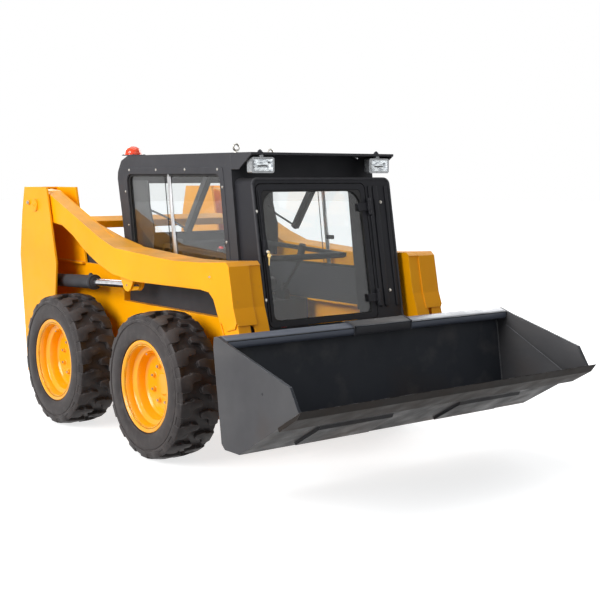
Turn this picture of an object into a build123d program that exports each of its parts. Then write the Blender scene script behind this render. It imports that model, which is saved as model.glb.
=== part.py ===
from build123d import *
from math import asin, atan2, cos, degrees, hypot, radians, sin, tan
import os

# A compact skid steer loader: a welded tub on four equal wheels, lift arms pivoted on two rear
# towers, a cab between the arms and a wide bucket, which stands rolled back.
# The part's frame: +X to the machine's left, +Y to its rear, +Z up, on the ground.
# Side outlines are (y, z) from the point on the ground under the front axle.

os.makedirs("parts", exist_ok=True)

# ---- wheels and axles ----
tyre_radius = 388
tyre_width = 264
wheelbase = 1077
wheel_centre = 732        # from the machine's middle to a wheel's middle
rim_width = 231
rim_radius = 242.5
seat_radius = 214         # where the tyre's bead sits
rim_gauge = 7
dish_radius = 185
dish_step = 54            # from the outer flange to the first step
dish_depth = 120          # from the outer flange to the disc's face
disc_gauge = 12
hub_radius = 62
nut_circle = 98
nut_radius = 15
nut_count = 8
hub_width = 80
hub_stand = 6             # the hub's cap in front of the disc's face
cap_gauge = 8
spindle_radius = 30
running_gap = 0.05        # radial, in every bore that turns on a pin
lug_depth = 31            # from the carcass's flats to a lug's top
lug_count = 14            # in each of the two rows
bore_sides = 12           # flats round a tyre's bore
shoulder_width = 18
shoulder_drop = 51
seat_gap = 0.2            # between a seat and what sits on it

# ---- frame and towers ----
tub_half = 515
side_gauge = 15
belly_z = 205
deck_z = 745
engine_z = 940
tub_front = -395
tub_rear = 1762
bulkhead_y = 800
plate = 12
nose_half = 460
nose_front = -545
nose_top = 655
nose_foot = 300           # high enough to let the bucket's heel swing under
tower_half = 712          # outer face of the outer plates
tower_top = 1408
pivot = (1571, 1295)      # the arms' pivot on the towers
pivot_radius = 25
ram_base = (1600, 820)    # the lift cylinders' lower pin
ram_base_radius = 20
wheel_arch = 428          # radius of the tower plate's cut round the rear tyre
tower_foot = belly_z + 13
tower_back = [(tub_rear - 30, tower_top), (tub_rear + 16, tower_top - 170), (tub_rear + 58, tower_top - 436),
              (tub_rear - 12, tower_foot)]
tower_lead = wheelbase + 334      # the front edge at the top, and lower down at the deck
tower_lead_foot = wheelbase + 217
bolt_head = 15            # radius of the keeper bolt beside the pivot pin

# ---- arms ----
arm_outer = 690
arm_inner = 500
boom_inner = 590          # the narrow rear of the boom
boom_taper = (620, 960)   # where the inner face moves over
pivot_boss = 100
arm_plate = 16
cover_end = 757           # the front cover's lower end
doubler_gauge = 8         # the plate laid on the leg's outer side
hinge_pin = (-700, 420)   # the bucket's pin in the arm's foot
hinge_radius = 25
foot_radius = 60
slot_half = 38
foot_centre = 595
tilt_top = (-395, 980)    # the tilt cylinder's upper pin
tilt_top_radius = 18
ram_eye = (500, 868)      # the lift cylinder's rod end under the boom
ram_centre = 620          # from the middle to the lift cylinders
lift_range = 58
tilt_range = 115

# ---- bucket ----
bucket_half = 942
bucket_gauge = 10
bucket_side_gauge = 14
edge_half = 957
edge_gauge = 20
edge_reach = 37           # the cutting edge in front of the lip
edge_seat = 150           # and under the floor behind it
lip = (-1446, 500)
heel_front = (-1012, 243)
heel_back = (-895, 243)
back_foot = (-868, 266)
back_top = (-806, 706)
ear_reach = 150           # from the bucket's pin to the tilt cylinder's eye
ear_lead = 20             # degrees from the line to the cylinder's upper pin
step_span = (-173, 203)   # the thicker stretch of the top bar
wear_x = (220, 660)       # a wear plate's ends across
wear_span = (40, 260)     # and along the floor, from the heel
wear_gauge = 12

# ---- cab ----
cab_half = 477
cab_wall = 40
cab_top = 1595
cab_front_top = -262
cab_back = 800            # where the roof starts to curve down
cab_lean = 0.1354         # forward for each unit down
front_half = 462
front_lean = 10           # degrees
front_foot = (-569, 660)
front_top = cab_top - 129
window_top = cab_top - 108
window_foot = 950
door_right = -445
door_left = 285
door_foot = 714
door_head = front_top - 26
door_gap = 6
door_gauge = 28
door_border = 29
hinge_out = 14            # the door's hinge line stands in front of its face
roof_gauge = 40

floor_run = hypot(lip[0] - heel_front[0], lip[1] - heel_front[1])
floor_u = ((lip[0] - heel_front[0]) / floor_run, (lip[1] - heel_front[1]) / floor_run)
floor_n = (-floor_u[1], floor_u[0])


def under_floor(forward, down):
    """A point seen from the lip: forward along the floor's underside and down from it."""
    return (lip[0] + forward * floor_u[0] + down * floor_n[0], lip[1] + forward * floor_u[1] + down * floor_n[1])


edge_outline = [under_floor(edge_reach, seat_gap), under_floor(-edge_seat, seat_gap),
                under_floor(-edge_seat, edge_gauge), under_floor(-12, edge_gauge)]
rear_sill = 1130
rear_head = cab_top - 155
rear_half = 340
bumper_top = 335
hitch_radius = 16
hitch_inset = 38
grille_rows = 9
grille_pitch = 44
grille_slot = 26
hood_half = tub_half - 25
hood_top = engine_z + 88
louvre_rows = 6           # folded up along the hood
louvre_pitch = 62
louvre_half = 300
door_knuckles = (420, 810)
front_reach = edge_outline[0][0]
bumper_depth = 100
rear_reach = tub_rear + bumper_depth
rear_hinge = (tub_half - 37, tub_rear + 50)
front_axle_y = -(front_reach + rear_reach) / 2


def side(x):
    """A plane that faces the machine's left, with its origin under the front axle."""
    return Plane(origin=(x, front_axle_y, 0), x_dir=(0, 1, 0), z_dir=(1, 0, 0))


def ahead(y):
    """An upright plane that faces forwards."""
    return Plane(origin=(0, front_axle_y + y, 0), x_dir=(1, 0, 0), z_dir=(0, -1, 0))


def level(z):
    """A level plane with its origin over the front axle."""
    return Plane(origin=(0, front_axle_y, z))


def slab(points, x_from, x_to, mode=Mode.ADD, corner=0):
    """A plate cut to a side outline, between two distances from the middle."""
    with BuildSketch(side(x_from)) as outline:
        with BuildLine():
            Polyline(*points, close=True)
        make_face()
        if corner:
            fillet(outline.vertices(), corner)
    extrude(outline.sketch, amount=x_to - x_from, mode=mode)


def block(x, y, z, mode=Mode.ADD):
    """A box between pairs of x, y and z."""
    with BuildSketch(level(z[0])) as outline:
        with Locations(((x[0] + x[1]) / 2, (y[0] + y[1]) / 2)):
            Rectangle(x[1] - x[0], y[1] - y[0])
    extrude(outline.sketch, amount=z[1] - z[0], mode=mode)


def rod_across(point, radius, x_from, x_to, mode=Mode.ADD):
    """A round bar or hole that runs across the machine."""
    with BuildSketch(side(x_from)) as outline:
        with Locations(point):
            Circle(radius)
    extrude(outline.sketch, amount=x_to - x_from, mode=mode)


def along(start, end, distance):
    """The point at a distance from start on the way to end."""
    run = hypot(end[0] - start[0], end[1] - start[1])
    return (start[0] + (end[0] - start[0]) * distance / run,
            start[1] + (end[1] - start[1]) * distance / run)


# ---- tyres and rims: made once on the X axis, outer side to +X, then set at each hub ----
# A tyre's carcass is a prism with two flats for each lug, and each shoulder tapers in to the sidewall.
half_rim = rim_width / 2
bead_half = half_rim - rim_gauge - seat_gap
half_tyre = tyre_width / 2
hub_inner = hub_width / 2 + 20                # behind the wheel's middle
hub_face = half_rim - dish_depth + hub_stand  # in front of it
crown_half = half_tyre - shoulder_width
crown_radius = tyre_radius - lug_depth
shoulder_radius = crown_radius - shoulder_drop
lug_outline = [(8, 4), (40, 4), (22, half_tyre - 3), (-26, half_tyre - 3)]
lug_lead = max(u for u, x in lug_outline)
lug_phase = degrees(asin(lug_lead / tyre_radius))     # sets a lug's leading corner on the ground
lug_top = tyre_radius * cos(radians(lug_phase))
lug_foot = shoulder_radius + 8
flats = 2 * lug_count


def tyre_prism(x_from, x_to, radius, sides, mode=Mode.ADD, taper=0):
    """A prism of so many flats between two places along the axle, each flat so far from it."""
    hand = 1 if x_to > x_from else -1
    plane = Plane(origin=(x_from, 0, 0), x_dir=(0, 1, 0), z_dir=(hand, 0, 0))
    with BuildSketch(plane) as ring:
        RegularPolygon(radius, sides, major_radius=False, rotation=hand * (lug_phase - 180 / sides))
    extrude(ring.sketch, amount=abs(x_to - x_from), mode=mode, taper=taper)


with BuildPart() as tyre:
    shoulder_taper = degrees(atan2(shoulder_drop, shoulder_width))
    for hand in (1, -1):
        tyre_prism(hand * crown_half, hand * half_tyre, crown_radius, flats, taper=shoulder_taper)
    tyre_prism(-crown_half, crown_half, crown_radius, flats)
    tyre_prism(-half_tyre, half_tyre, seat_radius + seat_gap, bore_sides, Mode.SUBTRACT)
    for hand in (1, -1):
        tyre_prism(hand * half_tyre, hand * bead_half, rim_radius + 3, bore_sides, Mode.SUBTRACT)
    for row in (1, -1):
        for n in range(lug_count):
            turn = 360 / lug_count * (n + (0.5 if row < 0 else 0)) + lug_phase
            spoke = Plane.XY.rotated((turn, 0, 0))
            with BuildSketch(spoke.offset(lug_foot)) as lug:
                with BuildLine():
                    Polyline(*[(row * x, u) for u, x in lug_outline], close=True)
                make_face()
            extrude(lug.sketch, amount=lug_top - lug_foot)

with BuildPart() as rim:
    with BuildSketch() as section:
        for x_from, x_to, r_from, r_to in (
                (half_rim - rim_gauge, half_rim, seat_radius - rim_gauge, rim_radius),
                (-half_rim, -half_rim + rim_gauge, seat_radius - rim_gauge, rim_radius),
                (-half_rim, half_rim, seat_radius - rim_gauge, seat_radius),
                (half_rim - dish_depth - disc_gauge, half_rim - dish_step, dish_radius, seat_radius),
                (half_rim - dish_depth - disc_gauge, half_rim - dish_depth, spindle_radius + 5, dish_radius),
                (-hub_inner, hub_face - cap_gauge, spindle_radius + running_gap, hub_radius),
                (hub_face - cap_gauge, hub_face, 0, hub_radius)):
            with Locations(((x_from + x_to) / 2, (r_from + r_to) / 2)):
                Rectangle(x_to - x_from, r_to - r_from)
    revolve(section.sketch, axis=Axis.X)
    with BuildSketch(Plane.YZ.offset(half_rim - dish_depth)) as nut_ring:
        with PolarLocations(nut_circle, nut_count):
            RegularPolygon(nut_radius, 6)
    extrude(nut_ring.sketch, amount=14)

wheels = [("front_right", -1, 0), ("front_left", 1, 0), ("rear_right", -1, wheelbase), ("rear_left", 1, wheelbase)]
for place, hand, hub_y in wheels:
    for kind, master in (("tyre", tyre), ("rim", rim)):
        turned = master.part if hand > 0 else mirror(master.part, about=Plane.YZ)
        with BuildPart() as wheel_piece:
            with Locations((hand * wheel_centre, front_axle_y + hub_y, tyre_radius)):
                add(turned)
        wheel_piece.part.label = f"{kind}_{place}"
        export_step(wheel_piece.part, f"parts/{kind}_{place}.step")

# ---- axle ends: a flange on the tub, the housing and the spindle ----
hub_back = wheel_centre - hub_inner
with BuildPart() as axles:
    for hub_y in (0, wheelbase):
        for hand in (1, -1):
            for radius, x_from, x_to in ((115, tub_half, tub_half + 18), (65, tub_half, hub_back - 5),
                                         (spindle_radius, tub_half, wheel_centre + hub_face - cap_gauge - 2)):
                rod_across((hub_y, tyre_radius), radius, hand * x_from, hand * x_to)
axles.part.label = "axles"
export_step(axles.part, "parts/axles.step")

# ---- main frame ----
with BuildPart() as main_frame:
    for hand in (1, -1):
        slab([(tub_front, deck_z), (tub_front, belly_z), (1700, belly_z), (tub_rear - 8, 260), (tub_rear, engine_z),
              (bulkhead_y + 50, engine_z), (bulkhead_y, deck_z)], hand * (tub_half - side_gauge), hand * tub_half)
        block(sorted((hand * 430, hand * tub_half)), (tub_front, bulkhead_y), (deck_z - 10, deck_z))
        block(sorted((hand * 440, hand * tub_half)), (bulkhead_y, tub_rear - 10), (engine_z - plate, engine_z))
        block(sorted((hand * (nose_half - plate), hand * tub_half)), (tub_front, tub_front + plate),
              (belly_z, deck_z))
    block((-tub_half, tub_half), (tub_front, 1700), (belly_z, belly_z + plate))
    block((-tub_half, tub_half), (bulkhead_y, bulkhead_y + plate), (belly_z, engine_z))
    block((-tub_half, tub_half), (tub_rear - 60, tub_rear), (belly_z + plate, belly_z + 135))
    nose = [(tub_front + plate, nose_foot), (-440, nose_foot + 30), (-505, 385), (nose_front, nose_top),
            (tub_front + plate, nose_top)]
    nose_bore = [(tub_front + plate + 5, nose_foot + 14), (-436, nose_foot + 43), (-494, 392),
                 (nose_front + plate, nose_top - plate), (tub_front + plate + 5, nose_top - plate)]
    slab(nose, -nose_half, nose_half)
    slab(nose_bore, -nose_half + plate, nose_half - plate, Mode.SUBTRACT)
    for z in door_knuckles:
        for z_from in (z - 26, z + 52):
            with BuildSketch(level(z_from)) as lobe:
                with Locations(rear_hinge):
                    Circle(11)
                with Locations((rear_hinge[0] + 12, rear_hinge[1])):
                    Rectangle(24, 16)
                with Locations((rear_hinge[0] + 24, rear_hinge[1] - 27)):
                    Rectangle(26, 70)
            extrude(lobe.sketch, amount=24)
        with BuildSketch(level(z - 26)) as pin:
            with Locations(rear_hinge):
                Circle(6)
        extrude(pin.sketch, amount=102)
main_frame.part.label = "main_frame"
export_step(main_frame.part, "parts/main_frame.step")

# ---- towers: outer plate, inner plate, rear plate, pins ----
arch_foot = (wheelbase + wheel_arch * cos(radians(-23.4)), tower_foot)
arch_head = (wheelbase + wheel_arch * cos(radians(55.8)), tyre_radius + wheel_arch * sin(radians(55.8)))
with BuildPart() as tower_left:
    with BuildSketch(side(tower_half - plate)) as outline:
        with BuildLine():
            Polyline(arch_head, (tower_lead_foot, engine_z + 4), (tower_lead, tower_top), *tower_back, arch_foot)
            ThreePointArc(arch_foot, (wheelbase + wheel_arch, tyre_radius), arch_head)
        make_face()
    extrude(outline.sketch, amount=plate)
    slab([(tower_lead_foot - 4, engine_z), (tower_lead, tower_top), *tower_back[:2], (tub_rear + 47, engine_z + 100),
          (tub_rear, engine_z)], tub_half - side_gauge, tub_half)
    back_inside = [(y - plate, z) for y, z in reversed(tower_back)]
    slab([*tower_back, *back_inside], tub_half, tower_half - plate)
    block((tub_half, tower_half - plate), (tub_rear - 90, tub_rear - 34), (tower_top - plate, tower_top))
    block((tub_half, tower_half - plate), (tub_rear - 262, tub_rear - 17), (tower_foot, tower_foot + plate))
    block((tub_half, tub_half + 25), (tower_lead_foot - 4, tub_rear - 62), (engine_z - 8, engine_z + 4))
    rod_across(pivot, pivot_radius, tub_half, tower_half)
    rod_across(pivot, 40, tower_half, tower_half + 10)
    rod_across((pivot[0] + 89, pivot[1] + 15), bolt_head, tower_half, tower_half + 9)
    rod_across(ram_base, ram_base_radius, tub_half, tower_half - plate)
tower_left.part.label = "tower_left"
export_step(tower_left.part, "parts/tower_left.step")
with BuildPart() as tower_right:
    mirror(tower_left.part, about=Plane.YZ)
tower_right.part.label = "tower_right"
export_step(tower_right.part, "parts/tower_right.step")

# ---- arms ----
arm_outline = [(pivot[0], pivot[1] + 97), (1470, 1386), (760, 1122), (590, 1074), (100, 1046), (-60, 1040),
               (-300, 1046), (-535, 1060), (-560, 1040), (-600, 840), (-625, 775), (-650, 700), (-757, 440),
               hinge_pin, (-640, 420), (-575, 560), (-515, 690), (-450, 820), (-425, 870), (-380, 905), (-300, 912),
               (400, 902), (600, 922), (806, 980), (928, 1030), (1106, 1124), (1250, 1182), (1350, 1190),
               (pivot[0], pivot[1] - 97)]
channel = [(-546, 1024), (-588, 838), (-613, 772), (-637, 704), (-655, 660), (-420, 660), (-350, 860), (-350, 1024)]
with BuildPart() as arm_left:
    slab(arm_outline, arm_inner, arm_outer)
    rod_across(pivot, pivot_boss, boom_inner, arm_outer)
    rod_across(hinge_pin, foot_radius, arm_inner, arm_outer)
    with BuildSketch(level(800)) as waist:
        with BuildLine():
            Polyline((arm_inner - 10, boom_taper[0]), (arm_inner, boom_taper[0]), (boom_inner, boom_taper[1]),
                     (boom_inner, 1750), (arm_inner - 10, 1750), close=True)
        make_face()
    extrude(waist.sketch, amount=800, mode=Mode.SUBTRACT)
    slab(channel, arm_inner + arm_plate, arm_outer - arm_plate, Mode.SUBTRACT)
    slab([(-820, 340), (-820, 660), (-400, 660), (-400, 340)], foot_centre - slot_half, foot_centre + slot_half,
         Mode.SUBTRACT)
    slab([(-720, 640), (-720, cover_end), (-600, cover_end), (-600, 640)], foot_centre - 9, foot_centre + 15,
         Mode.SUBTRACT)
    slab([(-554, 1040), (-594, 840), (-619, 775), (-644, 700), (-657, 668), (-760, 668), (-700, 1040)], arm_inner,
         foot_centre - 25, Mode.SUBTRACT)
    slab([(-625, cover_end), (-644, 700), (-657, 668), (-760, 668), (-760, cover_end)], foot_centre - 25, arm_outer,
         Mode.SUBTRACT)
    slab([(-440, 800), (-540, 724), (-612, 742), (-626, 772), (-800, 772), (-800, 300), (-400, 300)],
         arm_outer - doubler_gauge, arm_outer, Mode.SUBTRACT)
    rod_across(pivot, pivot_radius + running_gap, arm_inner, arm_outer, Mode.SUBTRACT)
    rod_across(hinge_pin, hinge_radius, arm_inner, arm_outer)
    rod_across(hinge_pin, 36, arm_outer, arm_outer + 12)
    rod_across(hinge_pin, 36, arm_inner - 10, arm_inner)
    rod_across(tilt_top, tilt_top_radius, arm_inner, arm_outer)
    for x_from in (ram_centre - 41, ram_centre + 27):
        slab([(410, 930), (590, 930), (540, 850), (515, 834), (485, 834), (460, 850)], x_from, x_from + 14)
arm_left.part.label = "arm_left"
export_step(arm_left.part, "parts/arm_left.step")
with BuildPart() as arm_right:
    mirror(arm_left.part, about=Plane.YZ)
arm_right.part.label = "arm_right"
export_step(arm_right.part, "parts/arm_right.step")

with BuildPart() as cross_tube:
    slab([(1070, 1236), (998, 1209), (1014, 1167), (1086, 1194)], -boom_inner, boom_inner)
cross_tube.part.label = "cross_tube"
export_step(cross_tube.part, "parts/cross_tube.step")

# ---- cylinders ----
reach_angle = degrees(atan2(tilt_top[1] - hinge_pin[1], tilt_top[0] - hinge_pin[0]))
ear_angle = radians(reach_angle + ear_lead)
tilt_eye = (hinge_pin[0] + ear_reach * cos(ear_angle), hinge_pin[1] + ear_reach * sin(ear_angle))


def cylinder_pair(kind, base, eye, centre, base_eye, barrel_radius, wall, barrel_length, rod_radius, rod_eye,
                  piston_at):
    """Two cylinders: each a barrel with its base eye, and a rod with a piston and its own eye."""
    run = hypot(eye[0] - base[0], eye[1] - base[1])
    direction = (0, (eye[0] - base[0]) / run, (eye[1] - base[1]) / run)
    base_radius, base_bore, base_width = base_eye
    eye_radius, eye_bore, eye_width = rod_eye
    for place, hand in (("left", 1), ("right", -1)):
        x = hand * centre
        start = Vector(x, front_axle_y + base[0], base[1])

        def across(distance):
            return Plane(origin=start + Vector(*direction) * distance, x_dir=(1, 0, 0), z_dir=direction)

        def turned(distance, length, radius, mode=Mode.ADD):
            with BuildSketch(across(distance)) as disc:
                Circle(radius)
            extrude(disc.sketch, amount=length, mode=mode)

        with BuildPart() as barrel:
            turned(base_radius - 8, barrel_length - base_radius + 8, barrel_radius)
            turned(barrel_length - 30, 30, barrel_radius + 4)
            rod_across(base, base_radius, x - base_width / 2, x + base_width / 2)
            turned(base_radius + 6, barrel_length - 16 - base_radius - 6, barrel_radius - wall, Mode.SUBTRACT)
            turned(barrel_length - 20, 30, rod_radius + running_gap, Mode.SUBTRACT)
            rod_across(base, base_bore + running_gap, x - base_width, x + base_width, Mode.SUBTRACT)
        barrel.part.label = f"{kind}_barrel_{place}"
        export_step(barrel.part, f"parts/{kind}_barrel_{place}.step")
        with BuildPart() as piston_rod:
            turned(piston_at, run - piston_at - eye_radius + 6, rod_radius)
            turned(piston_at, 15, barrel_radius - wall - running_gap)
            rod_across(eye, eye_radius, x - eye_width / 2, x + eye_width / 2)
            rod_across(eye, eye_bore, x - eye_width, x + eye_width, Mode.SUBTRACT)
        piston_rod.part.label = f"{kind}_rod_{place}"
        export_step(piston_rod.part, f"parts/{kind}_rod_{place}.step")


cylinder_pair("lift", ram_base, ram_eye, ram_centre, (36, ram_base_radius, 50), 40, 6, 640, 22, (32, 18, 48), 62)
cylinder_pair("tilt", tilt_top, tilt_eye, foot_centre, (33, tilt_top_radius, 60), 33, 5, 335, 18, (28, 14, 36), 41)

# ---- bucket ----
with BuildPart() as bucket_shell:
    side_outline = [back_top, (-812, 750), (-841, 754), (-892, 737), (-1381, 603), lip, heel_front, heel_back,
                    back_foot]
    for hand in (1, -1):
        slab(side_outline, hand * (bucket_half - bucket_side_gauge), hand * bucket_half)
    inside_top = (back_top[0] - bucket_gauge, back_top[1])
    slab([back_top, (-812, 750), (-841, 754), (-892, 737), (-885, 700), (-816, 690), (-878, 271), (-897, 253),
          (-1010, 253), (-1441, 508), lip, heel_front, heel_back, back_foot], -bucket_half, bucket_half)
    slab([(-802, 700), (-805, 757), (-842, 763), (-899, 744), (-893, 700)], *step_span)
    for hand in (1, -1):
        slab([under_floor(wear_span[0] - floor_run, -1), under_floor(wear_span[1] - floor_run, -1),
              under_floor(wear_span[1] - floor_run - 20, wear_gauge), under_floor(wear_span[0] - floor_run, wear_gauge)],
             hand * wear_x[0], hand * wear_x[1])
bucket_shell.part.label = "bucket_shell"
export_step(bucket_shell.part, "parts/bucket_shell.step")

with BuildPart() as cutting_edge:
    slab(edge_outline, -edge_half, edge_half)
cutting_edge.part.label = "cutting_edge"
export_step(cutting_edge.part, "parts/cutting_edge.step")

with BuildPart() as bucket_ears:
    back_line = [(-862.2, 307), (-817.2, 626)]
    for hand in (1, -1):
        for x_from in (foot_centre - 32, foot_centre + 20):
            with BuildSketch(side(hand * x_from)) as ear:
                with BuildLine():
                    Polyline(back_line[0], (hinge_pin[0] + 20, hinge_pin[1] - 46), (hinge_pin[0] + 50, hinge_pin[1]),
                             (tilt_eye[0] + 34, tilt_eye[1]), (tilt_eye[0], tilt_eye[1] + 38), back_line[1],
                             close=True)
                make_face()
                with Locations(hinge_pin):
                    Circle(hinge_radius + running_gap, mode=Mode.SUBTRACT)
            extrude(ear.sketch, amount=hand * 12)
bucket_ears.part.label = "bucket_ears"
export_step(bucket_ears.part, "parts/bucket_ears.step")

# ---- cab ----


def cab_edge(z):
    """How far forward the cab's side walls reach at a height."""
    return cab_front_top - (cab_top - z) * cab_lean


cab_foot = engine_z + 5
cab_waist = 1200           # where the rear wall starts to lean back


def rear_wall(z):
    """Where the glass stands in the cab's leaning rear wall."""
    return cab_back + 53 + (z - cab_waist) * 0.2154


cab_outline = [(cab_front_top, cab_top), (cab_back, cab_top), (cab_back + 80, cab_top - 30),
               (cab_back + 122, cab_top - 95), (cab_back + 126, cab_top - 135), (cab_back + 70, cab_waist),
               (cab_back + 45, cab_waist - 140), (cab_back + 30, cab_foot), (bulkhead_y - 5, cab_foot),
               (bulkhead_y - 5, deck_z), (cab_edge(deck_z), deck_z)]
cab_bore = [(cab_front_top + 30, cab_top - roof_gauge), (cab_back, cab_top - roof_gauge),
            (cab_back + 52, cab_top - 60), (cab_back + 88, cab_top - 105), (cab_back + 90, cab_top - 133),
            (cab_back + 36, cab_waist), (cab_back + 12, cab_waist - 140), (cab_back, cab_foot + 30),
            (bulkhead_y - 35, cab_foot + 30), (bulkhead_y - 35, deck_z - 10), (cab_edge(deck_z) + 30, deck_z - 10)]
window_outline = [(cab_front_top + 96, window_top), (cab_back + 16, window_top), (cab_back - 43, cab_waist - 120),
                  (cab_back - 60, window_foot), (cab_front_top + 19, window_foot)]
with BuildPart() as cab_shell:
    slab(cab_outline, -cab_half, cab_half)
    slab(cab_bore, -cab_half + cab_wall, cab_half - cab_wall, Mode.SUBTRACT)
    with BuildSketch(side(-cab_half)) as opening:
        with BuildLine():
            Polyline(*window_outline, close=True)
        make_face()
        fillet(opening.vertices(), 40)
    extrude(opening.sketch, amount=2 * cab_half, mode=Mode.SUBTRACT)
    block((-400, 400), (-500, 0), (deck_z - 10, door_head), Mode.SUBTRACT)
    block((-rear_half, rear_half), (cab_back - 100, cab_back + 200), (rear_sill, rear_head), Mode.SUBTRACT)
cab_shell.part.label = "cab_shell"
export_step(cab_shell.part, "parts/cab_shell.step")

# The front frame leans back; its face is a plane of its own, which the door shares.
face = Plane(origin=(0, front_axle_y + front_foot[0], front_foot[1]), x_dir=(1, 0, 0),
             z_dir=(0, -cos(radians(front_lean)), sin(radians(front_lean))))


def up_face(z):
    """The distance up the leaning face that a height is at."""
    return (z - front_foot[1]) / cos(radians(front_lean))


def pane(x, v, depth, gauge, corner, mode=Mode.ADD):
    """A rounded panel on the leaning face, from a depth behind it."""
    with BuildSketch(face.offset(-depth)) as outline:
        with Locations(((x[0] + x[1]) / 2, (v[0] + v[1]) / 2)):
            RectangleRounded(x[1] - x[0], v[1] - v[0], corner)
    extrude(outline.sketch, amount=gauge, mode=mode)


front_head = front_foot[0] + (front_top - front_foot[1]) * tan(radians(front_lean))
hinge_v = (up_face(door_foot) + 115, up_face(door_head) - 131)
hinge_x = door_left + 5
with BuildPart() as cab_front:
    slab([(front_head, front_top), (cab_edge(front_top) - 1, front_top), (cab_edge(deck_z) - 1, deck_z),
          (tub_front - 2, deck_z), (tub_front - 2, front_foot[1]), front_foot], -front_half, front_half)
    fillet(cab_front.edges().filter_by(Axis.Y).group_by(Axis.Z)[-1], 36)
    pane((door_right, door_left), (up_face(door_foot), up_face(door_head)), 300, 400, 36, Mode.SUBTRACT)
    for v in hinge_v:
        hinge_line = Plane(origin=face.from_local_coords((hinge_x, v - 45, hinge_out)), x_dir=(1, 0, 0),
                           z_dir=face.y_dir)
        for lift in (0, 68):
            with BuildSketch(hinge_line.offset(lift)) as knuckle:
                Circle(10)
                with Locations((10, 6)):
                    Rectangle(20, 16)
            extrude(knuckle.sketch, amount=22)
        with BuildSketch(hinge_line) as pin:
            Circle(6)
        extrude(pin.sketch, amount=90)
cab_front.part.label = "cab_front"
export_step(cab_front.part, "parts/cab_front.step")

door_v = (up_face(door_foot) + door_gap, up_face(door_head) - door_gap)
door_x = (door_right + door_gap, door_left - door_gap)
glass_x = (door_x[0] + door_border, door_x[1] - door_border)
glass_v = (door_v[0] + door_border, door_v[1] - door_border)
with BuildPart() as door_frame:
    pane(door_x, door_v, door_gauge, door_gauge, 30)
    pane(glass_x, glass_v, door_gauge + 1, door_gauge + 2, 26, Mode.SUBTRACT)
    for v in hinge_v:
        with BuildSketch(face.offset(0)) as strap:
            with Locations((door_x[1] - 30, v)):
                Rectangle(50, 42)
        extrude(strap.sketch, amount=6)
        hinge_line = Plane(origin=face.from_local_coords((hinge_x, v - 21, hinge_out)), x_dir=(1, 0, 0),
                           z_dir=face.y_dir)
        with BuildSketch(hinge_line) as knuckle:
            Circle(10)
            with Locations((-15, 10)):
                Rectangle(30, 6)
        extrude(knuckle.sketch, amount=42)
        with BuildSketch(hinge_line.offset(-1)) as bore:
            Circle(6 + running_gap)
        extrude(bore.sketch, amount=44, mode=Mode.SUBTRACT)
door_frame.part.label = "door_frame"
export_step(door_frame.part, "parts/door_frame.step")
with BuildPart() as door_glass:
    pane([glass_x[0] + seat_gap, glass_x[1] - seat_gap], [glass_v[0] + seat_gap, glass_v[1] - seat_gap], 16, 6, 25.8)
door_glass.part.label = "door_glass"
export_step(door_glass.part, "parts/door_glass.step")

lock_v = up_face(1116)
lock_line = Plane(origin=face.from_local_coords((door_x[0] + 14, lock_v, 0)), x_dir=(1, 0, 0), z_dir=face.z_dir)
with BuildPart() as door_lock:
    with BuildSketch(lock_line) as lock_case:
        RectangleRounded(26, 84, 8)
    extrude(lock_case.sketch, amount=16)
    with BuildSketch(lock_line.offset(16)) as key_barrel:
        with Locations((0, -20)):
            Circle(8)
        with Locations((0, 20)):
            RectangleRounded(16, 34, 5)
    extrude(key_barrel.sketch, amount=6)
door_lock.part.label = "door_lock"
export_step(door_lock.part, "parts/door_lock.step")

# ---- cab windows: two sides and the rear ----
with BuildPart() as cab_windows:
    for hand in (1, -1):
        inner, outer_face = sorted((hand * (cab_half - 22), hand * (cab_half - 16)))
        with BuildSketch(side(inner)) as sheet:
            with BuildLine():
                Polyline(*window_outline, close=True)
            make_face()
            fillet(sheet.vertices(), 40)
            offset(amount=-seat_gap, mode=Mode.REPLACE)
        extrude(sheet.sketch, amount=outer_face - inner)
    slab([(rear_wall(rear_sill + seat_gap), rear_sill + seat_gap), (rear_wall(rear_head - seat_gap),
          rear_head - seat_gap), (rear_wall(rear_head - seat_gap) + 6, rear_head - seat_gap),
         (rear_wall(rear_sill + seat_gap) + 6, rear_sill + seat_gap)], -rear_half + seat_gap, rear_half - seat_gap)
cab_windows.part.label = "cab_windows"
export_step(cab_windows.part, "parts/cab_windows.step")

# ---- on the roof: visor, lamps, beacon, lifting eyes ----
visor_front = -450
gusset_foot = cab_top - 85
with BuildPart() as visor:
    slab([(cab_edge(cab_top) - 0.2, cab_top), (visor_front, cab_top), (visor_front, cab_top - plate),
          (cab_edge(cab_top - plate) - 0.2, cab_top - plate)], -cab_half, cab_half)
    for hand in (1, -1):
        slab([(cab_edge(cab_top - plate) - 0.2, cab_top - plate), (visor_front + 2, cab_top - plate),
              (visor_front + 110, gusset_foot), (cab_edge(gusset_foot) - 0.2, gusset_foot)], hand * (cab_half - 8),
             hand * cab_half)
visor.part.label = "visor"
export_step(visor.part, "parts/visor.step")

lamp_x = 390
lamp_z = cab_top - 64
lamp_face = visor_front + 18
with BuildPart() as work_lamps:
    for x in (-lamp_x, lamp_x):
        with BuildSketch(ahead(lamp_face + 40)) as case:
            with Locations((x, lamp_z)):
                RectangleRounded(142, 80, 12)
        extrude(case.sketch, amount=40)
        with BuildSketch(ahead(lamp_face + 8)) as lens:
            with Locations((x, lamp_z)):
                RectangleRounded(124, 62, 8)
        extrude(lens.sketch, amount=10, mode=Mode.SUBTRACT)
        with BuildSketch(ahead(lamp_face + 60)) as shell_back:
            with Locations((x, lamp_z)):
                RectangleRounded(100, 54, 10)
        extrude(shell_back.sketch, amount=20)
        block((x - 12, x + 12), (lamp_face + 14, lamp_face + 34), (lamp_z + 39, cab_top - plate))
work_lamps.part.label = "work_lamps"
export_step(work_lamps.part, "parts/work_lamps.step")

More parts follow.
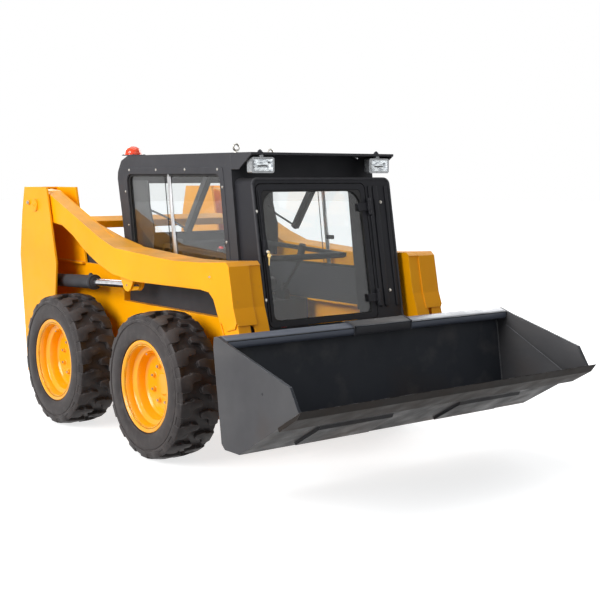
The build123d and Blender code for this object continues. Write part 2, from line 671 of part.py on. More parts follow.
beacon_spot = (-430, 820)
with BuildPart() as beacon:
    block((-474, -386), (745, 876), (cab_top, cab_top + 5))
    for radius, height in ((50, 10), (44, 50)):
        with BuildSketch(level(cab_top + 5)) as dome:
            with Locations(beacon_spot):
                Circle(radius)
        extrude(dome.sketch, amount=height)
    chamfer(beacon.edges().filter_by(GeomType.CIRCLE).group_by(Axis.Z)[-1], 14)
beacon.part.label = "beacon"
export_step(beacon.part, "parts/beacon.step")

eye_spots = [(-420, -238), (410, 600)]
eye_bore = 11
eye_radius = 22
eye_gauge = 10
with BuildPart() as lifting_eyes:
    for x, y in eye_spots:
        with BuildSketch(level(cab_top)) as foot:
            with Locations((x, y)):
                Circle(15)
        extrude(foot.sketch, amount=8)
        with BuildSketch(ahead(y + eye_gauge / 2)) as ring:
            with Locations((x, cab_top + 28)):
                Circle(eye_radius)
                Circle(eye_bore, mode=Mode.SUBTRACT)
        extrude(ring.sketch, amount=eye_gauge)
lifting_eyes.part.label = "lifting_eyes"
export_step(lifting_eyes.part, "parts/lifting_eyes.step")

# ---- inside the cab ----
with BuildPart() as cab_floor:
    slab([(tub_front + plate, 560), (244, 560), (262, 739), (788, 739), (788, 745), (256, 745), (238, 566),
          (tub_front + plate, 566)], -430, 430)
    for hand in (1, -1):
        slab([(-330, 566), (-380, 660), (-374, 664), (-322, 566)], hand * 120, hand * 230)
cab_floor.part.label = "cab_floor"
export_step(cab_floor.part, "parts/cab_floor.step")

with BuildPart() as seat:
    slab([(330, 745), (330, 800), (650, 790), (650, 745)], -180, 180)
    slab([(290, 795), (285, 885), (640, 868), (660, 785)], -240, 240, corner=24)
    slab([(580, 860), (670, 860), (722, 1092), (648, 1100)], -225, 225, corner=24)
seat.part.label = "seat"
export_step(seat.part, "parts/seat.step")

with BuildPart() as control_levers:
    for hand in (1, -1):
        slab([(352, 745), (262, 745), (262, 800), (352, 800)], hand * 262, hand * 302)
        for start, end, radius in (((300, 800), (140, 990), 10), ((140, 990), (112, 1080), 20)):
            run = hypot(end[0] - start[0], end[1] - start[1])
            with BuildSketch(Plane(origin=(hand * 282, front_axle_y + start[0], start[1]), x_dir=(1, 0, 0),
                                   z_dir=(0, (end[0] - start[0]) / run, (end[1] - start[1]) / run))) as stem:
                Circle(radius)
            extrude(stem.sketch, amount=run)
control_levers.part.label = "control_levers"
export_step(control_levers.part, "parts/control_levers.step")

grab_head = 30            # a padded grab bar hangs from the roof at each side
grab_foot = (310, 1170)
with BuildPart() as lap_bar:
    rod_across((-200, 1030), 12, -330, 330)
    for hand in (1, -1):
        slab([(-212, 1024), (612, 1062), (690, 900), (712, 912), (626, 1086), (-212, 1048)], hand * 318, hand * 342)
        rod_across((700, 912), 20, hand * 318, hand * (cab_half - cab_wall))
        slab([(grab_head - 22, cab_top - roof_gauge), (grab_head + 22, cab_top - roof_gauge),
              (grab_foot[0] + 15, grab_foot[1] + 8), (grab_foot[0] - 15, grab_foot[1] - 8)], hand * 358, hand * 394)
lap_bar.part.label = "lap_bar"
export_step(lap_bar.part, "parts/lap_bar.step")

# ---- behind the cab ----
with BuildPart() as engine_block:
    block((-300, 300), (960, 1600), (belly_z + plate, 860))
engine_block.part.label = "engine_block"
export_step(engine_block.part, "parts/engine_block.step")

with BuildPart() as hood:
    slab([(bulkhead_y + 100, engine_z), (bulkhead_y + 130, engine_z + 75), (tub_rear - 72, hood_top),
          (tub_rear - 6, hood_top - 28), (tub_rear - 6, engine_z)], -hood_half, hood_half)
    slab([(bulkhead_y + 110, engine_z - 5), (bulkhead_y + 138, engine_z + 65), (tub_rear - 74, hood_top - 10),
          (tub_rear - 16, hood_top - 34), (tub_rear - 16, engine_z - 5)], -hood_half + 10, hood_half - 10, Mode.SUBTRACT)
    for row in range(louvre_rows):
        y = tub_rear - 250 - row * louvre_pitch
        z = hood_top - 4 - row * louvre_pitch * 13 / 760
        slab([(y, z), (y + 26, z + 12), (y + 30, z + 12), (y + 30, z)], -louvre_half, louvre_half)
hood.part.label = "hood"
export_step(hood.part, "parts/hood.step")

with BuildPart() as rear_bumper:
    slab([(tub_rear, belly_z + 10), (rear_reach - 20, belly_z + 10), (rear_reach, belly_z + 30),
          (rear_reach, bumper_top - 20), (rear_reach - 20, bumper_top), (tub_rear, bumper_top)], -tub_half + 20, tub_half - 20)
    with BuildSketch(level(belly_z)) as hitch:
        with Locations((0, rear_reach - hitch_inset)):
            Circle(hitch_radius)
    extrude(hitch.sketch, amount=200, mode=Mode.SUBTRACT)
    block((-70, 70), (tub_rear + 20, rear_reach), (belly_z + 40, bumper_top - 30), Mode.SUBTRACT)
rear_bumper.part.label = "rear_bumper"
export_step(rear_bumper.part, "parts/rear_bumper.step")

with BuildPart() as tail_lamps:
    for hand in (1, -1):
        foot, head = along(tower_back[2], tower_back[3], 182), along(tower_back[2], tower_back[3], 72)
        slab([(foot[0] + seat_gap, foot[1]), (foot[0] + 20, foot[1] - 2), (head[0] + 20, head[1] - 2),
              (head[0] + seat_gap, head[1])], hand * (tower_half - 137), hand * (tower_half - 57))
tail_lamps.part.label = "tail_lamps"
export_step(tail_lamps.part, "parts/tail_lamps.step")

with BuildPart() as rear_door:
    block((-hood_half + 5, hood_half - 5), (tub_rear + 6, tub_rear + 36), (bumper_top + 15, engine_z - 15))
    block((-hood_half + 15, hood_half - 15), (tub_rear - 4, tub_rear + 28), (bumper_top + 25, engine_z - 25),
          Mode.SUBTRACT)
    for row in range(grille_rows):
        z = bumper_top + 135 + row * grille_pitch
        block((-hood_half + 110, hood_half - 110), (tub_rear + 20, tub_rear + 50), (z, z + grille_slot), Mode.SUBTRACT)
    for z in door_knuckles:
        with BuildSketch(level(z)) as knuckle:
            with Locations((rear_hinge[0], rear_hinge[1])):
                Circle(11)
            with Locations((rear_hinge[0] - 8, rear_hinge[1] - 9)):
                Rectangle(16, 14)
            with Locations((rear_hinge[0], rear_hinge[1])):
                Circle(6 + running_gap, mode=Mode.SUBTRACT)
        extrude(knuckle.sketch, amount=50)
rear_door.part.label = "rear_door"
export_step(rear_door.part, "parts/rear_door.step")
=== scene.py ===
from math import atan2, cos, exp, pi, radians, sin, tan

import bmesh
import bpy
from mathutils import Matrix, Vector


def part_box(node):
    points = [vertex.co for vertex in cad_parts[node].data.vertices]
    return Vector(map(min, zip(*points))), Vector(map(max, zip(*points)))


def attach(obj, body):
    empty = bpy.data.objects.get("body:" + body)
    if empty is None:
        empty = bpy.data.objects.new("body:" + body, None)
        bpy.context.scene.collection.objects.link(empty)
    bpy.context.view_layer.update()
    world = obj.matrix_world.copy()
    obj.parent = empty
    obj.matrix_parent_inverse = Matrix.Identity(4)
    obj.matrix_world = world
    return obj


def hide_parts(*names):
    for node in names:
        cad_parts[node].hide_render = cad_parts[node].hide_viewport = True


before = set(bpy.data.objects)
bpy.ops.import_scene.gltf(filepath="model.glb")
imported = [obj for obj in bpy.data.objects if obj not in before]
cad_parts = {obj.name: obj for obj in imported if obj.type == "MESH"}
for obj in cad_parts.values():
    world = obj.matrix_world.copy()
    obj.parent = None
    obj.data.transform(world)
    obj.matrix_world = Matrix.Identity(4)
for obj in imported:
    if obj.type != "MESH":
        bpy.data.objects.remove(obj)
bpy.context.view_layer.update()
scene = bpy.context.scene

# ---- The studio: a pale floor that runs out to a white sky, and a camera at the machine's right front corner ----
# Soft boxes stand in for an overcast sky, the strongest one on the machine's right, so its front lies in shade.
camera_data = bpy.data.cameras.new("camera")
camera_data.sensor_width = 36
camera_data.lens = 66.805
camera = bpy.data.objects.new("camera", camera_data)
camera.location = (-3.6866, -5.2023, 1.4767)
camera.rotation_euler = (pi / 2 - 0.111, 0, -0.657)
scene.collection.objects.link(camera)
scene.camera = camera
scene.view_settings.view_transform = "Standard"

lit_point = Vector((0, 0, 0.7))
for name, place, size, power in (("right_box", (-6.2, -0.4, 3.6), 4.5, 470),
                                 ("front_box", (0.5, -7.0, 3.2), 4.0, 45),
                                 ("left_box", (6.2, 1.8, 3.4), 4.5, 330), ("back_box", (0.8, 7.0, 3.2), 4.0, 180),
                                 ("top_box", (0.5, 1.0, 6.5), 5.0, 130)):
    lamp_data = bpy.data.lights.new(name, "AREA")
    lamp_data.shape = "DISK"
    lamp_data.size = size
    lamp_data.energy = power
    lamp = bpy.data.objects.new(name, lamp_data)
    lamp.location = place
    lamp.rotation_euler = (lit_point - Vector(place)).to_track_quat("-Z", "Y").to_euler()
    scene.collection.objects.link(lamp)


def feed(tree, node, given):
    """Gives a node's inputs, by name or number, their values, colours or the sockets that drive them."""
    for name, value in given.items():
        socket = node.inputs[name]
        if isinstance(value, bpy.types.NodeSocket):
            tree.links.new(value, socket)
        else:
            socket.default_value = (*value, 1) if socket.type == "RGBA" else value


def added(tree, kind, given=(), **settings):
    """A new shader node with its settings, fed with its inputs."""
    node = tree.nodes.new(kind)
    for setting, value in settings.items():
        setattr(node, setting, value)
    feed(tree, node, dict(given))
    return node


def remap(tree, value, low, high, bottom=0, top=1):
    """A factor that goes from bottom to top while a value goes from low to high."""
    given = {"Value": value, "From Min": low, "From Max": high, "To Min": bottom, "To Max": top}
    return added(tree, "ShaderNodeMapRange", given).outputs["Result"]


def combine(tree, operation, *factors):
    """The sum, product or greatest of factors, each a socket or a number."""
    total = factors[0]
    for factor in factors[1:]:
        total = added(tree, "ShaderNodeMath", {0: total, 1: factor}, operation=operation,
                      use_clamp=operation == "ADD").outputs[0]
    return total


def seen_directly(tree):
    """1 for rays that show the surroundings themselves: from the camera, off gloss or through glass."""
    rays = added(tree, "ShaderNodeLightPath").outputs
    return combine(tree, "MAXIMUM", rays["Is Camera Ray"], rays["Is Glossy Ray"], rays["Is Transmission Ray"])


def new_finish(name):
    """A material with its node tree and Principled shader."""
    material = bpy.data.materials.new(name)
    material.use_nodes = True
    return material, material.node_tree, material.node_tree.nodes["Principled BSDF"]


sky = bpy.data.worlds.new("sky")
sky.use_nodes = True
scene.world = sky
tree = sky.node_tree
sky_light = tree.nodes["Background"]
feed(tree, sky_light, {"Color": (0.86, 0.93, 1.0), "Strength": 0.3})
sky_seen = added(tree, "ShaderNodeBackground", {"Color": (1, 1, 1)})
sky_mix = added(tree, "ShaderNodeMixShader",
                {0: seen_directly(tree), 1: sky_light.outputs[0], 2: sky_seen.outputs[0]})
feed(tree, tree.nodes["World Output"], {"Surface": sky_mix.outputs[0]})

floor_mesh = bmesh.new()
bmesh.ops.create_circle(floor_mesh, cap_ends=True, radius=60, segments=96)
floor_data = bpy.data.meshes.new("floor")
floor_mesh.to_mesh(floor_data)
floor_mesh.free()
floor = bpy.data.objects.new("floor", floor_data)
scene.collection.objects.link(floor)
# The floor shines where it is seen, and by the whole of white from 4.5 m out, so that its rim doesn't show.
floor_finish, tree, shader = new_finish("floor_white")
place = added(tree, "ShaderNodeTexCoord").outputs["Object"]
far_out = added(tree, "ShaderNodeVectorMath", {0: place}, operation="LENGTH").outputs["Value"]
paler = remap(tree, far_out, 1.8, 4.5, 0.74, 1.0)
feed(tree, shader, {"Base Color": (0.45, 0.45, 0.45), "Roughness": 0.9, "Specular IOR Level": 0,
                    "Emission Color": (1, 1, 1),
                    "Emission Strength": combine(tree, "MULTIPLY", seen_directly(tree), paler)})
floor_data.materials.append(floor_finish)


# ---- Painted steel: the frame, the towers that carry the pivots, the lift arms and their cross tube ----
# Welded plate and tube in one coat of yellow, with a little orange peel, faint mottling, dust on what faces up,
# road dirt low down and the paint rubbed paler along the edges.
def mottle(tree, scale, low, high, detail=4.0, stretch=(1, 1, 1)):
    """A factor from 0 to 1 that drifts over the surface, from the band of a noise between low and high."""
    place = added(tree, "ShaderNodeTexCoord").outputs["Object"]
    stretched = added(tree, "ShaderNodeMapping", {"Vector": place, "Scale": stretch}).outputs["Vector"]
    noise = added(tree, "ShaderNodeTexNoise", {"Vector": stretched, "Scale": scale, "Detail": detail})
    return remap(tree, noise.outputs["Fac"], low, high)


def tint(tree, factor, first, second):
    """A colour between two, each a socket or an RGB triple."""
    return added(tree, "ShaderNodeMix", {"Factor": factor, 6: first, 7: second}, data_type="RGBA").outputs[2]


def rubbed_edges(tree):
    """1 on a sharp edge and 0 on a flat face: how far a rounded normal turns from the face's own."""
    soft = added(tree, "ShaderNodeBevel", {"Radius": 0.004}).outputs["Normal"]
    true = added(tree, "ShaderNodeNewGeometry").outputs["Normal"]
    turn = added(tree, "ShaderNodeVectorMath", {0: soft, 1: true}, operation="DOT_PRODUCT").outputs["Value"]
    return remap(tree, turn, 0.985, 0.75)


def low_down(tree, top, fade):
    """1 near the ground, falling to 0 at a height."""
    place = added(tree, "ShaderNodeTexCoord").outputs["Object"]
    return remap(tree, added(tree, "ShaderNodeSeparateXYZ", {0: place}).outputs["Z"], top, top - fade)


def normal_along(tree, axis):
    """How far a face's normal points along an axis."""
    normal = added(tree, "ShaderNodeNewGeometry").outputs["Normal"]
    return added(tree, "ShaderNodeSeparateXYZ", {0: normal}).outputs[axis]


def facing(tree, none, full):
    """0 where the upright part of a face's normal is at the first value, rising to 1 at the second."""
    return remap(tree, normal_along(tree, "Z"), none, full)


def relief(tree, shader, scale, distance, strength, edge=0.0, detail=3.0):
    """Fine bumps so far apart, so deep and so strong, over an edge rounded by so much."""
    given = {"Strength": strength, "Distance": distance, "Height": mottle(tree, scale, 0, 1, detail)}
    if edge:
        given["Normal"] = added(tree, "ShaderNodeBevel", {"Radius": edge}).outputs["Normal"]
    feed(tree, shader, {"Normal": added(tree, "ShaderNodeBump", given).outputs["Normal"]})


def coat(name, colour, deep, dust, roughness, edge_colour, dust_top, dust_share, settled, gloss):
    """Sprayed paint: two near shades, dust low down and on tops, paler rubbed edges and a little orange peel."""
    material, tree, shader = new_finish(name)
    base = tint(tree, mottle(tree, 2.3, 0.35, 0.7), colour, deep)
    splashed = combine(tree, "MULTIPLY", low_down(tree, dust_top, dust_top), mottle(tree, 7, 0.38, 0.62, 8),
                       dust_share)
    resting = combine(tree, "MULTIPLY", facing(tree, 0.45, 0.95), mottle(tree, 5, 0.2, 0.75, 8), settled)
    specks = combine(tree, "MULTIPLY", mottle(tree, 26, 0.64, 0.8, 10), 0.2)
    dusty = combine(tree, "ADD", splashed, resting, specks)
    edges = combine(tree, "MULTIPLY", rubbed_edges(tree), mottle(tree, 18, 0.42, 0.62))
    uneven = combine(tree, "ADD", combine(tree, "MULTIPLY", mottle(tree, 11, 0.3, 0.7), 0.5), dusty)
    feed(tree, shader, {"Base Color": tint(tree, edges, tint(tree, dusty, base, dust), edge_colour),
                        "Roughness": remap(tree, uneven, 0, 1, *roughness), "Specular IOR Level": gloss})
    relief(tree, shader, 380, 0.00035, 0.35, 0.0035)
    return material


yellow = coat("machine_yellow", (0.98, 0.41, 0.001), (0.93, 0.36, 0.001), (0.4, 0.22, 0.09),
              (0.32, 0.55), (1.0, 0.6, 0.08), 0.7, 0.5, 0.75, 0.2)


def dress(material, *nodes):
    """Gives CAD nodes their finish."""
    for node in nodes:
        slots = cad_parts[node].data.materials
        slots.clear()
        slots.append(material)


dress(yellow, "main_frame", "tower_left", "tower_right", "arm_left", "arm_right", "cross_tube", "axles")

# ---- Weld seams and fastenings of the frame, towers and arms ----
# Rippled beads run where the plates of the box sections meet. The pivot pins are kept by a bolted tab and fed by a
# grease nipple, and the axle flanges are bolted to the tub.
tyre_low, tyre_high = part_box("tyre_front_left")
axle_y = (tyre_low.y + tyre_high.y) / 2
sides = (("left", 1), ("right", -1))


def spot(x, y, z):
    """A point given across, behind the front axle and above the ground."""
    return Vector((x, axle_y + y, z))


def square_to(point, direction):
    """A place at a point whose Z axis runs along a direction."""
    return Matrix.Translation(point) @ Vector(direction).to_track_quat("Z", "Y").to_matrix().to_4x4()


def soften(bm, width, segments=2, sharper_than=28):
    """Rounds the edges that turn by more than an angle."""
    turning = [e for e in bm.edges if len(e.link_faces) == 2 and e.calc_face_angle(0) > radians(sharper_than)]
    bmesh.ops.bevel(bm, geom=turning, offset=width, segments=segments, profile=0.5, affect="EDGES", material=-1,
                    clamp_overlap=True)


def merged(bm, part, turn=Matrix.Identity(4), keep=False):
    """Adds a mesh to another under a transform, and clears it away unless it is kept."""
    data = bpy.data.meshes.new("loose")
    part.to_mesh(data)
    data.transform(turn)
    if turn.determinant() < 0:
        data.flip_normals()
    bm.from_mesh(data)
    bpy.data.meshes.remove(data)
    if not keep:
        part.free()


def finished(name, bm, material, body="chassis", slot=None, smooth=32):
    """Turns a mesh that stands in place into a piece that rides on a body, smooth below an angle."""
    data = bpy.data.meshes.new(name)
    bm.to_mesh(data)
    bm.free()
    data.materials.append(material)
    data.shade_smooth()
    data.set_sharp_from_angle(angle=radians(smooth))
    piece = bpy.data.objects.new(name, data)
    scene.collection.objects.link(piece)
    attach(piece, body)
    return piece


def made(name, material, *parts, **how):
    """A piece of parts, each a function that adds to its mesh and what that takes after the mesh."""
    bm = bmesh.new()
    for add, *given in parts:
        add(bm, *given)
    return finished(name, bm, material, **how)


def drum(bm, point, direction, radius, length, sides=24, taper=1.0, edge=0.0):
    """A round or many-sided block that stands on a point along a direction."""
    own = bmesh.new()
    bmesh.ops.create_cone(own, cap_ends=True, radius1=radius, radius2=radius * taper, depth=length, segments=sides,
                          matrix=square_to(point, direction) @ Matrix.Translation((0, 0, length / 2)))
    if edge:
        soften(own, edge)
    merged(bm, own)


def stack(bm, point, direction, *drums):
    """Blocks on one line, each with how far along it stands and its radius, length, sides, taper and edge."""
    for along, *shape in drums:
        drum(bm, Vector(point) + Vector(direction).normalized() * along, direction, *shape)


def bolt(bm, point, direction, across):
    """A washer and a hexagon head."""
    stack(bm, point, direction, (0, across * 0.72, 0.0025, 20),
          (0.0025, across / 2 / cos(pi / 6), across * 0.42, 6, 0.96, 0.001))


def verts_of(geometry):
    """The points among what an operator made."""
    return [g for g in geometry if isinstance(g, bmesh.types.BMVert)]


def rod_along(bm, path, radius, sides=10, swell=None):
    """A round bar through points, with its ends closed; swell gives each ring its share of the radius."""
    own = bmesh.new()
    points = [Vector(p) for p in path]
    places = []
    for n, point in enumerate(points):
        ahead = points[min(n + 1, len(points) - 1)] - points[max(n - 1, 0)]
        places.append(square_to(point, ahead) @ Matrix.Scale(swell[n] if swell else 1, 4))
    ring = bmesh.ops.create_circle(own, cap_ends=True, radius=radius, segments=sides, matrix=places[0])["verts"]
    edges = {e for v in ring for e in v.link_edges}
    for before, place in zip(places, places[1:]):
        grown = bmesh.ops.extrude_edge_only(own, edges=list(edges))["geom"]
        bmesh.ops.transform(own, verts=verts_of(grown), matrix=place @ before.inverted())
        edges = {g for g in grown if isinstance(g, bmesh.types.BMEdge)}
    bmesh.ops.edgeloop_fill(own, edges=list(edges))
    bmesh.ops.recalc_face_normals(own, faces=own.faces)
    merged(bm, own)


def hoop(bm, centre, radius, gauge, across, steps, sides):
    """A round bar bent into an upright ring that lies along a direction."""
    turns = [2 * pi * n / steps for n in range(steps + 1)]
    rod_along(bm, [centre + (Vector(across) * cos(a) + Vector((0, 0, 1)) * sin(a)) * radius for a in turns],
              gauge, sides)


def spaced(count, radius):
    """Points round a circle, the first one half a step on."""
    turns = [2 * pi * (n + 0.5) / count for n in range(count)]
    return [(radius * cos(a), radius * sin(a)) for a in turns]


def seam(bm, start, end, radius=0.004, ripple=0.009):
    """A weld bead between two points, one ring to each ripple."""
    steps = max(2, int((end - start).length / ripple))
    path = [start.lerp(end, n / steps) for n in range(steps + 1)]
    rod_along(bm, path, radius, 6, [0.5] + [1.0 if n % 2 else 0.78 for n in range(steps - 1)] + [0.5])


def seams_through(bm, points, radius=0.004):
    """Weld beads from each point to the next."""
    for start, end in zip(points, points[1:]):
        seam(bm, start, end, radius)


arm_out = 0.690
boom_in = 0.590
tower_out = 0.712
wheelbase, hub_z = 1.077, 0.388
# Pins and the lower edge of boom and leg, as (behind the front axle, height)
pivot, lift_eye, tilt_pin, bucket_pin = (1.571, 1.295), (0.5, 0.868), (-0.395, 0.98), (-0.7, 0.42)
boom_under = [(1.52, 1.196), (1.35, 1.190), (1.25, 1.182), (1.106, 1.124), (0.928, 1.03), (0.806, 0.98),
              (0.62, 0.925)]
leg_back = [(0.39, 0.902), (-0.3, 0.912), (-0.38, 0.905), (-0.425, 0.87), (-0.45, 0.82), (-0.515, 0.69)]
boom_top = [(1.45, 1.379), (0.76, 1.123)]
tower_back = [(1.7285, 1.40), (1.775, 1.24), (1.816, 0.975), (1.748, 0.222)]
for side, hand in sides:
    bm = bmesh.new()
    for x, edge in ((arm_out - 0.005, boom_under), (boom_in + 0.005, boom_under), (arm_out - 0.005, leg_back),
                    (boom_in + 0.005, boom_top)):
        seams_through(bm, [spot(hand * x, y, z - 0.0005) for y, z in edge])
    for x in (0.593, 0.607, 0.647, 0.661):
        seam(bm, spot(hand * x, 0.42, 0.907), spot(hand * x, 0.58, 0.918), 0.0045)
    hoop(bm, spot(hand * (arm_out + 0.0002), *bucket_pin), 0.037, 0.003, (0, 1, 0), 40, 6)
    finished(f"arm_welds_{side}", bm, yellow, "lift_arms")
    made(f"tower_welds_{side}", yellow, (seams_through, [spot(hand * 0.697, y, z) for y, z in tower_back], 0.003),
         (seam, spot(hand * 0.519, 1.29, 0.9445), spot(hand * 0.519, 1.69, 0.9445)))


def surface(name, shades, patches, roughness, patchiness, bumps, own=()):
    """A plain finish: two shades and a roughness between two values, each by its mottle, and fine bumps."""
    material, tree, shader = new_finish(name)
    feed(tree, shader, {"Base Color": tint(tree, mottle(tree, *patches), *shades),
                        "Roughness": remap(tree, mottle(tree, *patchiness), 0, 1, *roughness), **dict(own)})
    relief(tree, shader, *bumps)
    return material


bright_zinc = surface("zinc_plate", ((0.5, 0.49, 0.46), (0.3, 0.27, 0.23)), (30, 0.45, 0.7, 8),
                      (0.25, 0.5), (60, 0.3, 0.7, 8), (500, 0.0002, 0.5, 0.001), {"Metallic": 1})
for side, hand in sides:
    out = Vector((hand, 0, 0))
    made(f"pivot_caps_{side}", yellow,
         (stack, spot(hand * tower_out, *pivot), out, (0.010, 0.033, 0.0015, 40, 0.96),
          (0.0115, 0.0075, 0.004, 12, 0.9, 0.001), (0.0155, 0.0035, 0.005, 10, 0.8)))
    bm = bmesh.new()
    bolt(bm, spot(hand * (tower_out + 0.0088), pivot[0] + 0.089, pivot[1] + 0.015), out, 0.017)
    for hub_y in (0, wheelbase):
        for y, z in spaced(6, 0.093):
            bolt(bm, spot(hand * 0.5328, hub_y + y, hub_z + z), out, 0.024)
    finished(f"frame_bolts_{side}", bm, bright_zinc)
    made(f"grease_nipples_{side}", bright_zinc,
         *[(stack, spot(hand * (arm_out + reach), *pin), out, (0, 0.0068, 0.003, 6, 0.95, 0.0008),
            (0.003, 0.0035, 0.006, 10, 0.75))
           for pin, reach in ((bucket_pin, 0.0118), (tilt_pin, -0.0002), (lift_eye, -0.0293))], body="lift_arms")
    made(f"tilt_pin_ends_{side}", yellow,
         (drum, spot(hand * (arm_out - 0.0002), *tilt_pin), out, 0.018, 0.0018, 32, 0.95), body="lift_arms")

# ---- Dark paint: the cab with its door and visor, the hood, the rear door and bumper ----
# Folded and welded sheet in a satin charcoal coat that picks up dust and shows every rubbed edge.
charcoal = coat("cab_charcoal", (0.05, 0.05, 0.055), (0.04, 0.04, 0.045), (0.11, 0.1, 0.09),
                (0.42, 0.8), (0.15, 0.15, 0.16), 1.0, 0.3, 0.5, 0.16)
# front_black_and_painted_shade is a darker copy of the charcoal: painted shade on the cab's leaning front and the
# door's frame, and the plain black of the small dark parts that share it.
shadow_black = coat("front_black_and_painted_shade", (0.022, 0.022, 0.026), (0.016, 0.016, 0.02), (0.07, 0.065, 0.06),
                    (0.36, 0.6), (0.09, 0.09, 0.1), 1.0, 0.25, 0.4, 0.16)
dress(charcoal, "cab_shell", "visor", "cab_floor", "hood", "rear_door", "rear_bumper")
dress(shadow_black, "cab_front", "door_frame")

# ---- The bucket: back, floor and side plates, the cutting edge under the lip and the ears behind ----
# Heavy plate in blue-grey paint. The floor is scuffed along the way earth slides, and the edge is rubbed and
# has begun to rust.
plate_grey = coat("bucket_grey", (0.088, 0.09, 0.096), (0.07, 0.072, 0.078), (0.15, 0.12, 0.09),
                  (0.34, 0.6), (0.26, 0.26, 0.27), 0.6, 0.25, 0.1, 0.22)
dress(plate_grey, "bucket_ears")

bucket_inside, tree, shader = new_finish("bucket_plate")
patches = mottle(tree, 2.5, 0.3, 0.7)
# Faces turned sideways, the side plates, take a paler grey than the rest: painted light on the sides and painted
# shade on the back and floor.
sideways_lit = added(tree, "ShaderNodeMath", {0: normal_along(tree, "X")}, operation="ABSOLUTE").outputs[0]
base = tint(tree, sideways_lit, tint(tree, patches, (0.042, 0.045, 0.053), (0.031, 0.034, 0.041)),
            tint(tree, patches, (0.08, 0.079, 0.082), (0.062, 0.061, 0.065)))
# Over the two greys lie the scuffs, a painted shade on the underside, rust low down and the rubbed edges.
for factors, colour in (((mottle(tree, 6, 0.52, 0.72, 10, (1, 0.25, 1)), 0.35), (0.13, 0.12, 0.115)),
                        ((facing(tree, -0.15, -0.5), 0.75), (0.017, 0.015, 0.014)),
                        ((low_down(tree, 0.52, 0.25), mottle(tree, 3.2, 0.5, 0.68, 8, (0.6, 1, 1)), 0.5),
                         (0.085, 0.052, 0.032)),
                        ((rubbed_edges(tree), mottle(tree, 14, 0.35, 0.6)), (0.24, 0.24, 0.25))):
    base = tint(tree, combine(tree, "MULTIPLY", *factors), base, colour)
feed(tree, shader, {"Base Color": base, "Specular IOR Level": 0.12,
                    "Roughness": remap(tree, mottle(tree, 9, 0.3, 0.7, 8), 0, 1, 0.34, 0.6)})
relief(tree, shader, 260, 0.0005, 0.4, 0.004)
dress(bucket_inside, "bucket_shell")

# The cutting edge is worn, rusting steel, and its coat is darkened further as painted shade under the lip.
worn_and_shaded_edge = coat("worn_and_shaded_edge", (0.03, 0.026, 0.024), (0.019, 0.017, 0.016), (0.09, 0.055, 0.035),
                 (0.4, 0.7), (0.2, 0.19, 0.19), 0.7, 0.3, 0.1, 0.05)
dress(worn_and_shaded_edge, "cutting_edge")


def raised(bm, faces, move):
    """Draws faces out into a solid and gives back the points of its far side."""
    moved = verts_of(bmesh.ops.extrude_face_region(bm, geom=faces)["geom"])
    bmesh.ops.translate(bm, verts=moved, vec=move)
    return moved


def cut_plate(bm, corners, move, edge=0.0, segments=2, sharper_than=28, place=Matrix.Identity(4)):
    """A flat outline of points drawn out along a direction, with its edges rounded."""
    own = bmesh.new()
    raised(own, [own.faces.new([own.verts.new(corner) for corner in corners])], move)
    bmesh.ops.recalc_face_normals(own, faces=own.faces)
    if edge:
        soften(own, edge, segments, sharper_than)
    merged(bm, own, place)


def prism(bm, outline, x_ends, *rounding):
    """A plate or bar cut to a side outline of (behind the front axle, height), between two distances across."""
    low, high = sorted(x_ends)
    cut_plate(bm, [spot(low, y, z) for y, z in outline], (high - low, 0, 0), *rounding)


# The top bar is rolled round and carries a thicker sleeve near its middle; doublers line the side plates' front.
bucket_half, bucket_in = 0.942, 0.928
sleeve_ends = (-0.173, 0.203)
# The bar's coat is a bluer grey than the bucket's: a painted reflection of the sky along its round top.
rolled_bar_painted_reflection = coat("rolled_bar_painted_reflection", (0.085, 0.096, 0.125), (0.066, 0.076, 0.1), (0.15, 0.14, 0.13),
                  (0.36, 0.55), (0.1, 0.11, 0.14), 0.8, 0.1, 0.1, 0.3)
bar = [(-0.8045, 0.690), (-0.8045, 0.722), (-0.812, 0.7525), (-0.841, 0.7565), (-0.892, 0.7395), (-0.8925, 0.700),
       (-0.83, 0.690)]
sleeve = [(-0.801, 0.698), (-0.8035, 0.7585), (-0.8415, 0.7645), (-0.900, 0.7455), (-0.8945, 0.697)]
sleeve_weld = [(-0.894, 0.699), (-0.899, 0.745), (-0.842, 0.7632), (-0.806, 0.758), (-0.803, 0.7)]
made("bucket_top_bar", rolled_bar_painted_reflection, (prism, bar, (-bucket_in - 0.001, bucket_in + 0.001), 0.014, 4, 15),
     body="bucket", smooth=50)
made("bucket_bar_sleeve", charcoal, (prism, sleeve, sleeve_ends, 0.012, 4, 15),
     *[(rod_along, [spot(x, y, z) for y, z in sleeve_weld], 0.004, 6) for x in sleeve_ends],
     body="bucket", slot="paint_bucket", smooth=50)

doubler = [(-0.889, 0.664), (-0.8925, 0.7305), (-1.378, 0.598), (-1.436, 0.5095), (-1.324, 0.444)]
inside = [(-0.818, 0.684), (-0.88, 0.271), (-0.898, 0.2545), (-1.009, 0.2545), (-1.438, 0.508)]
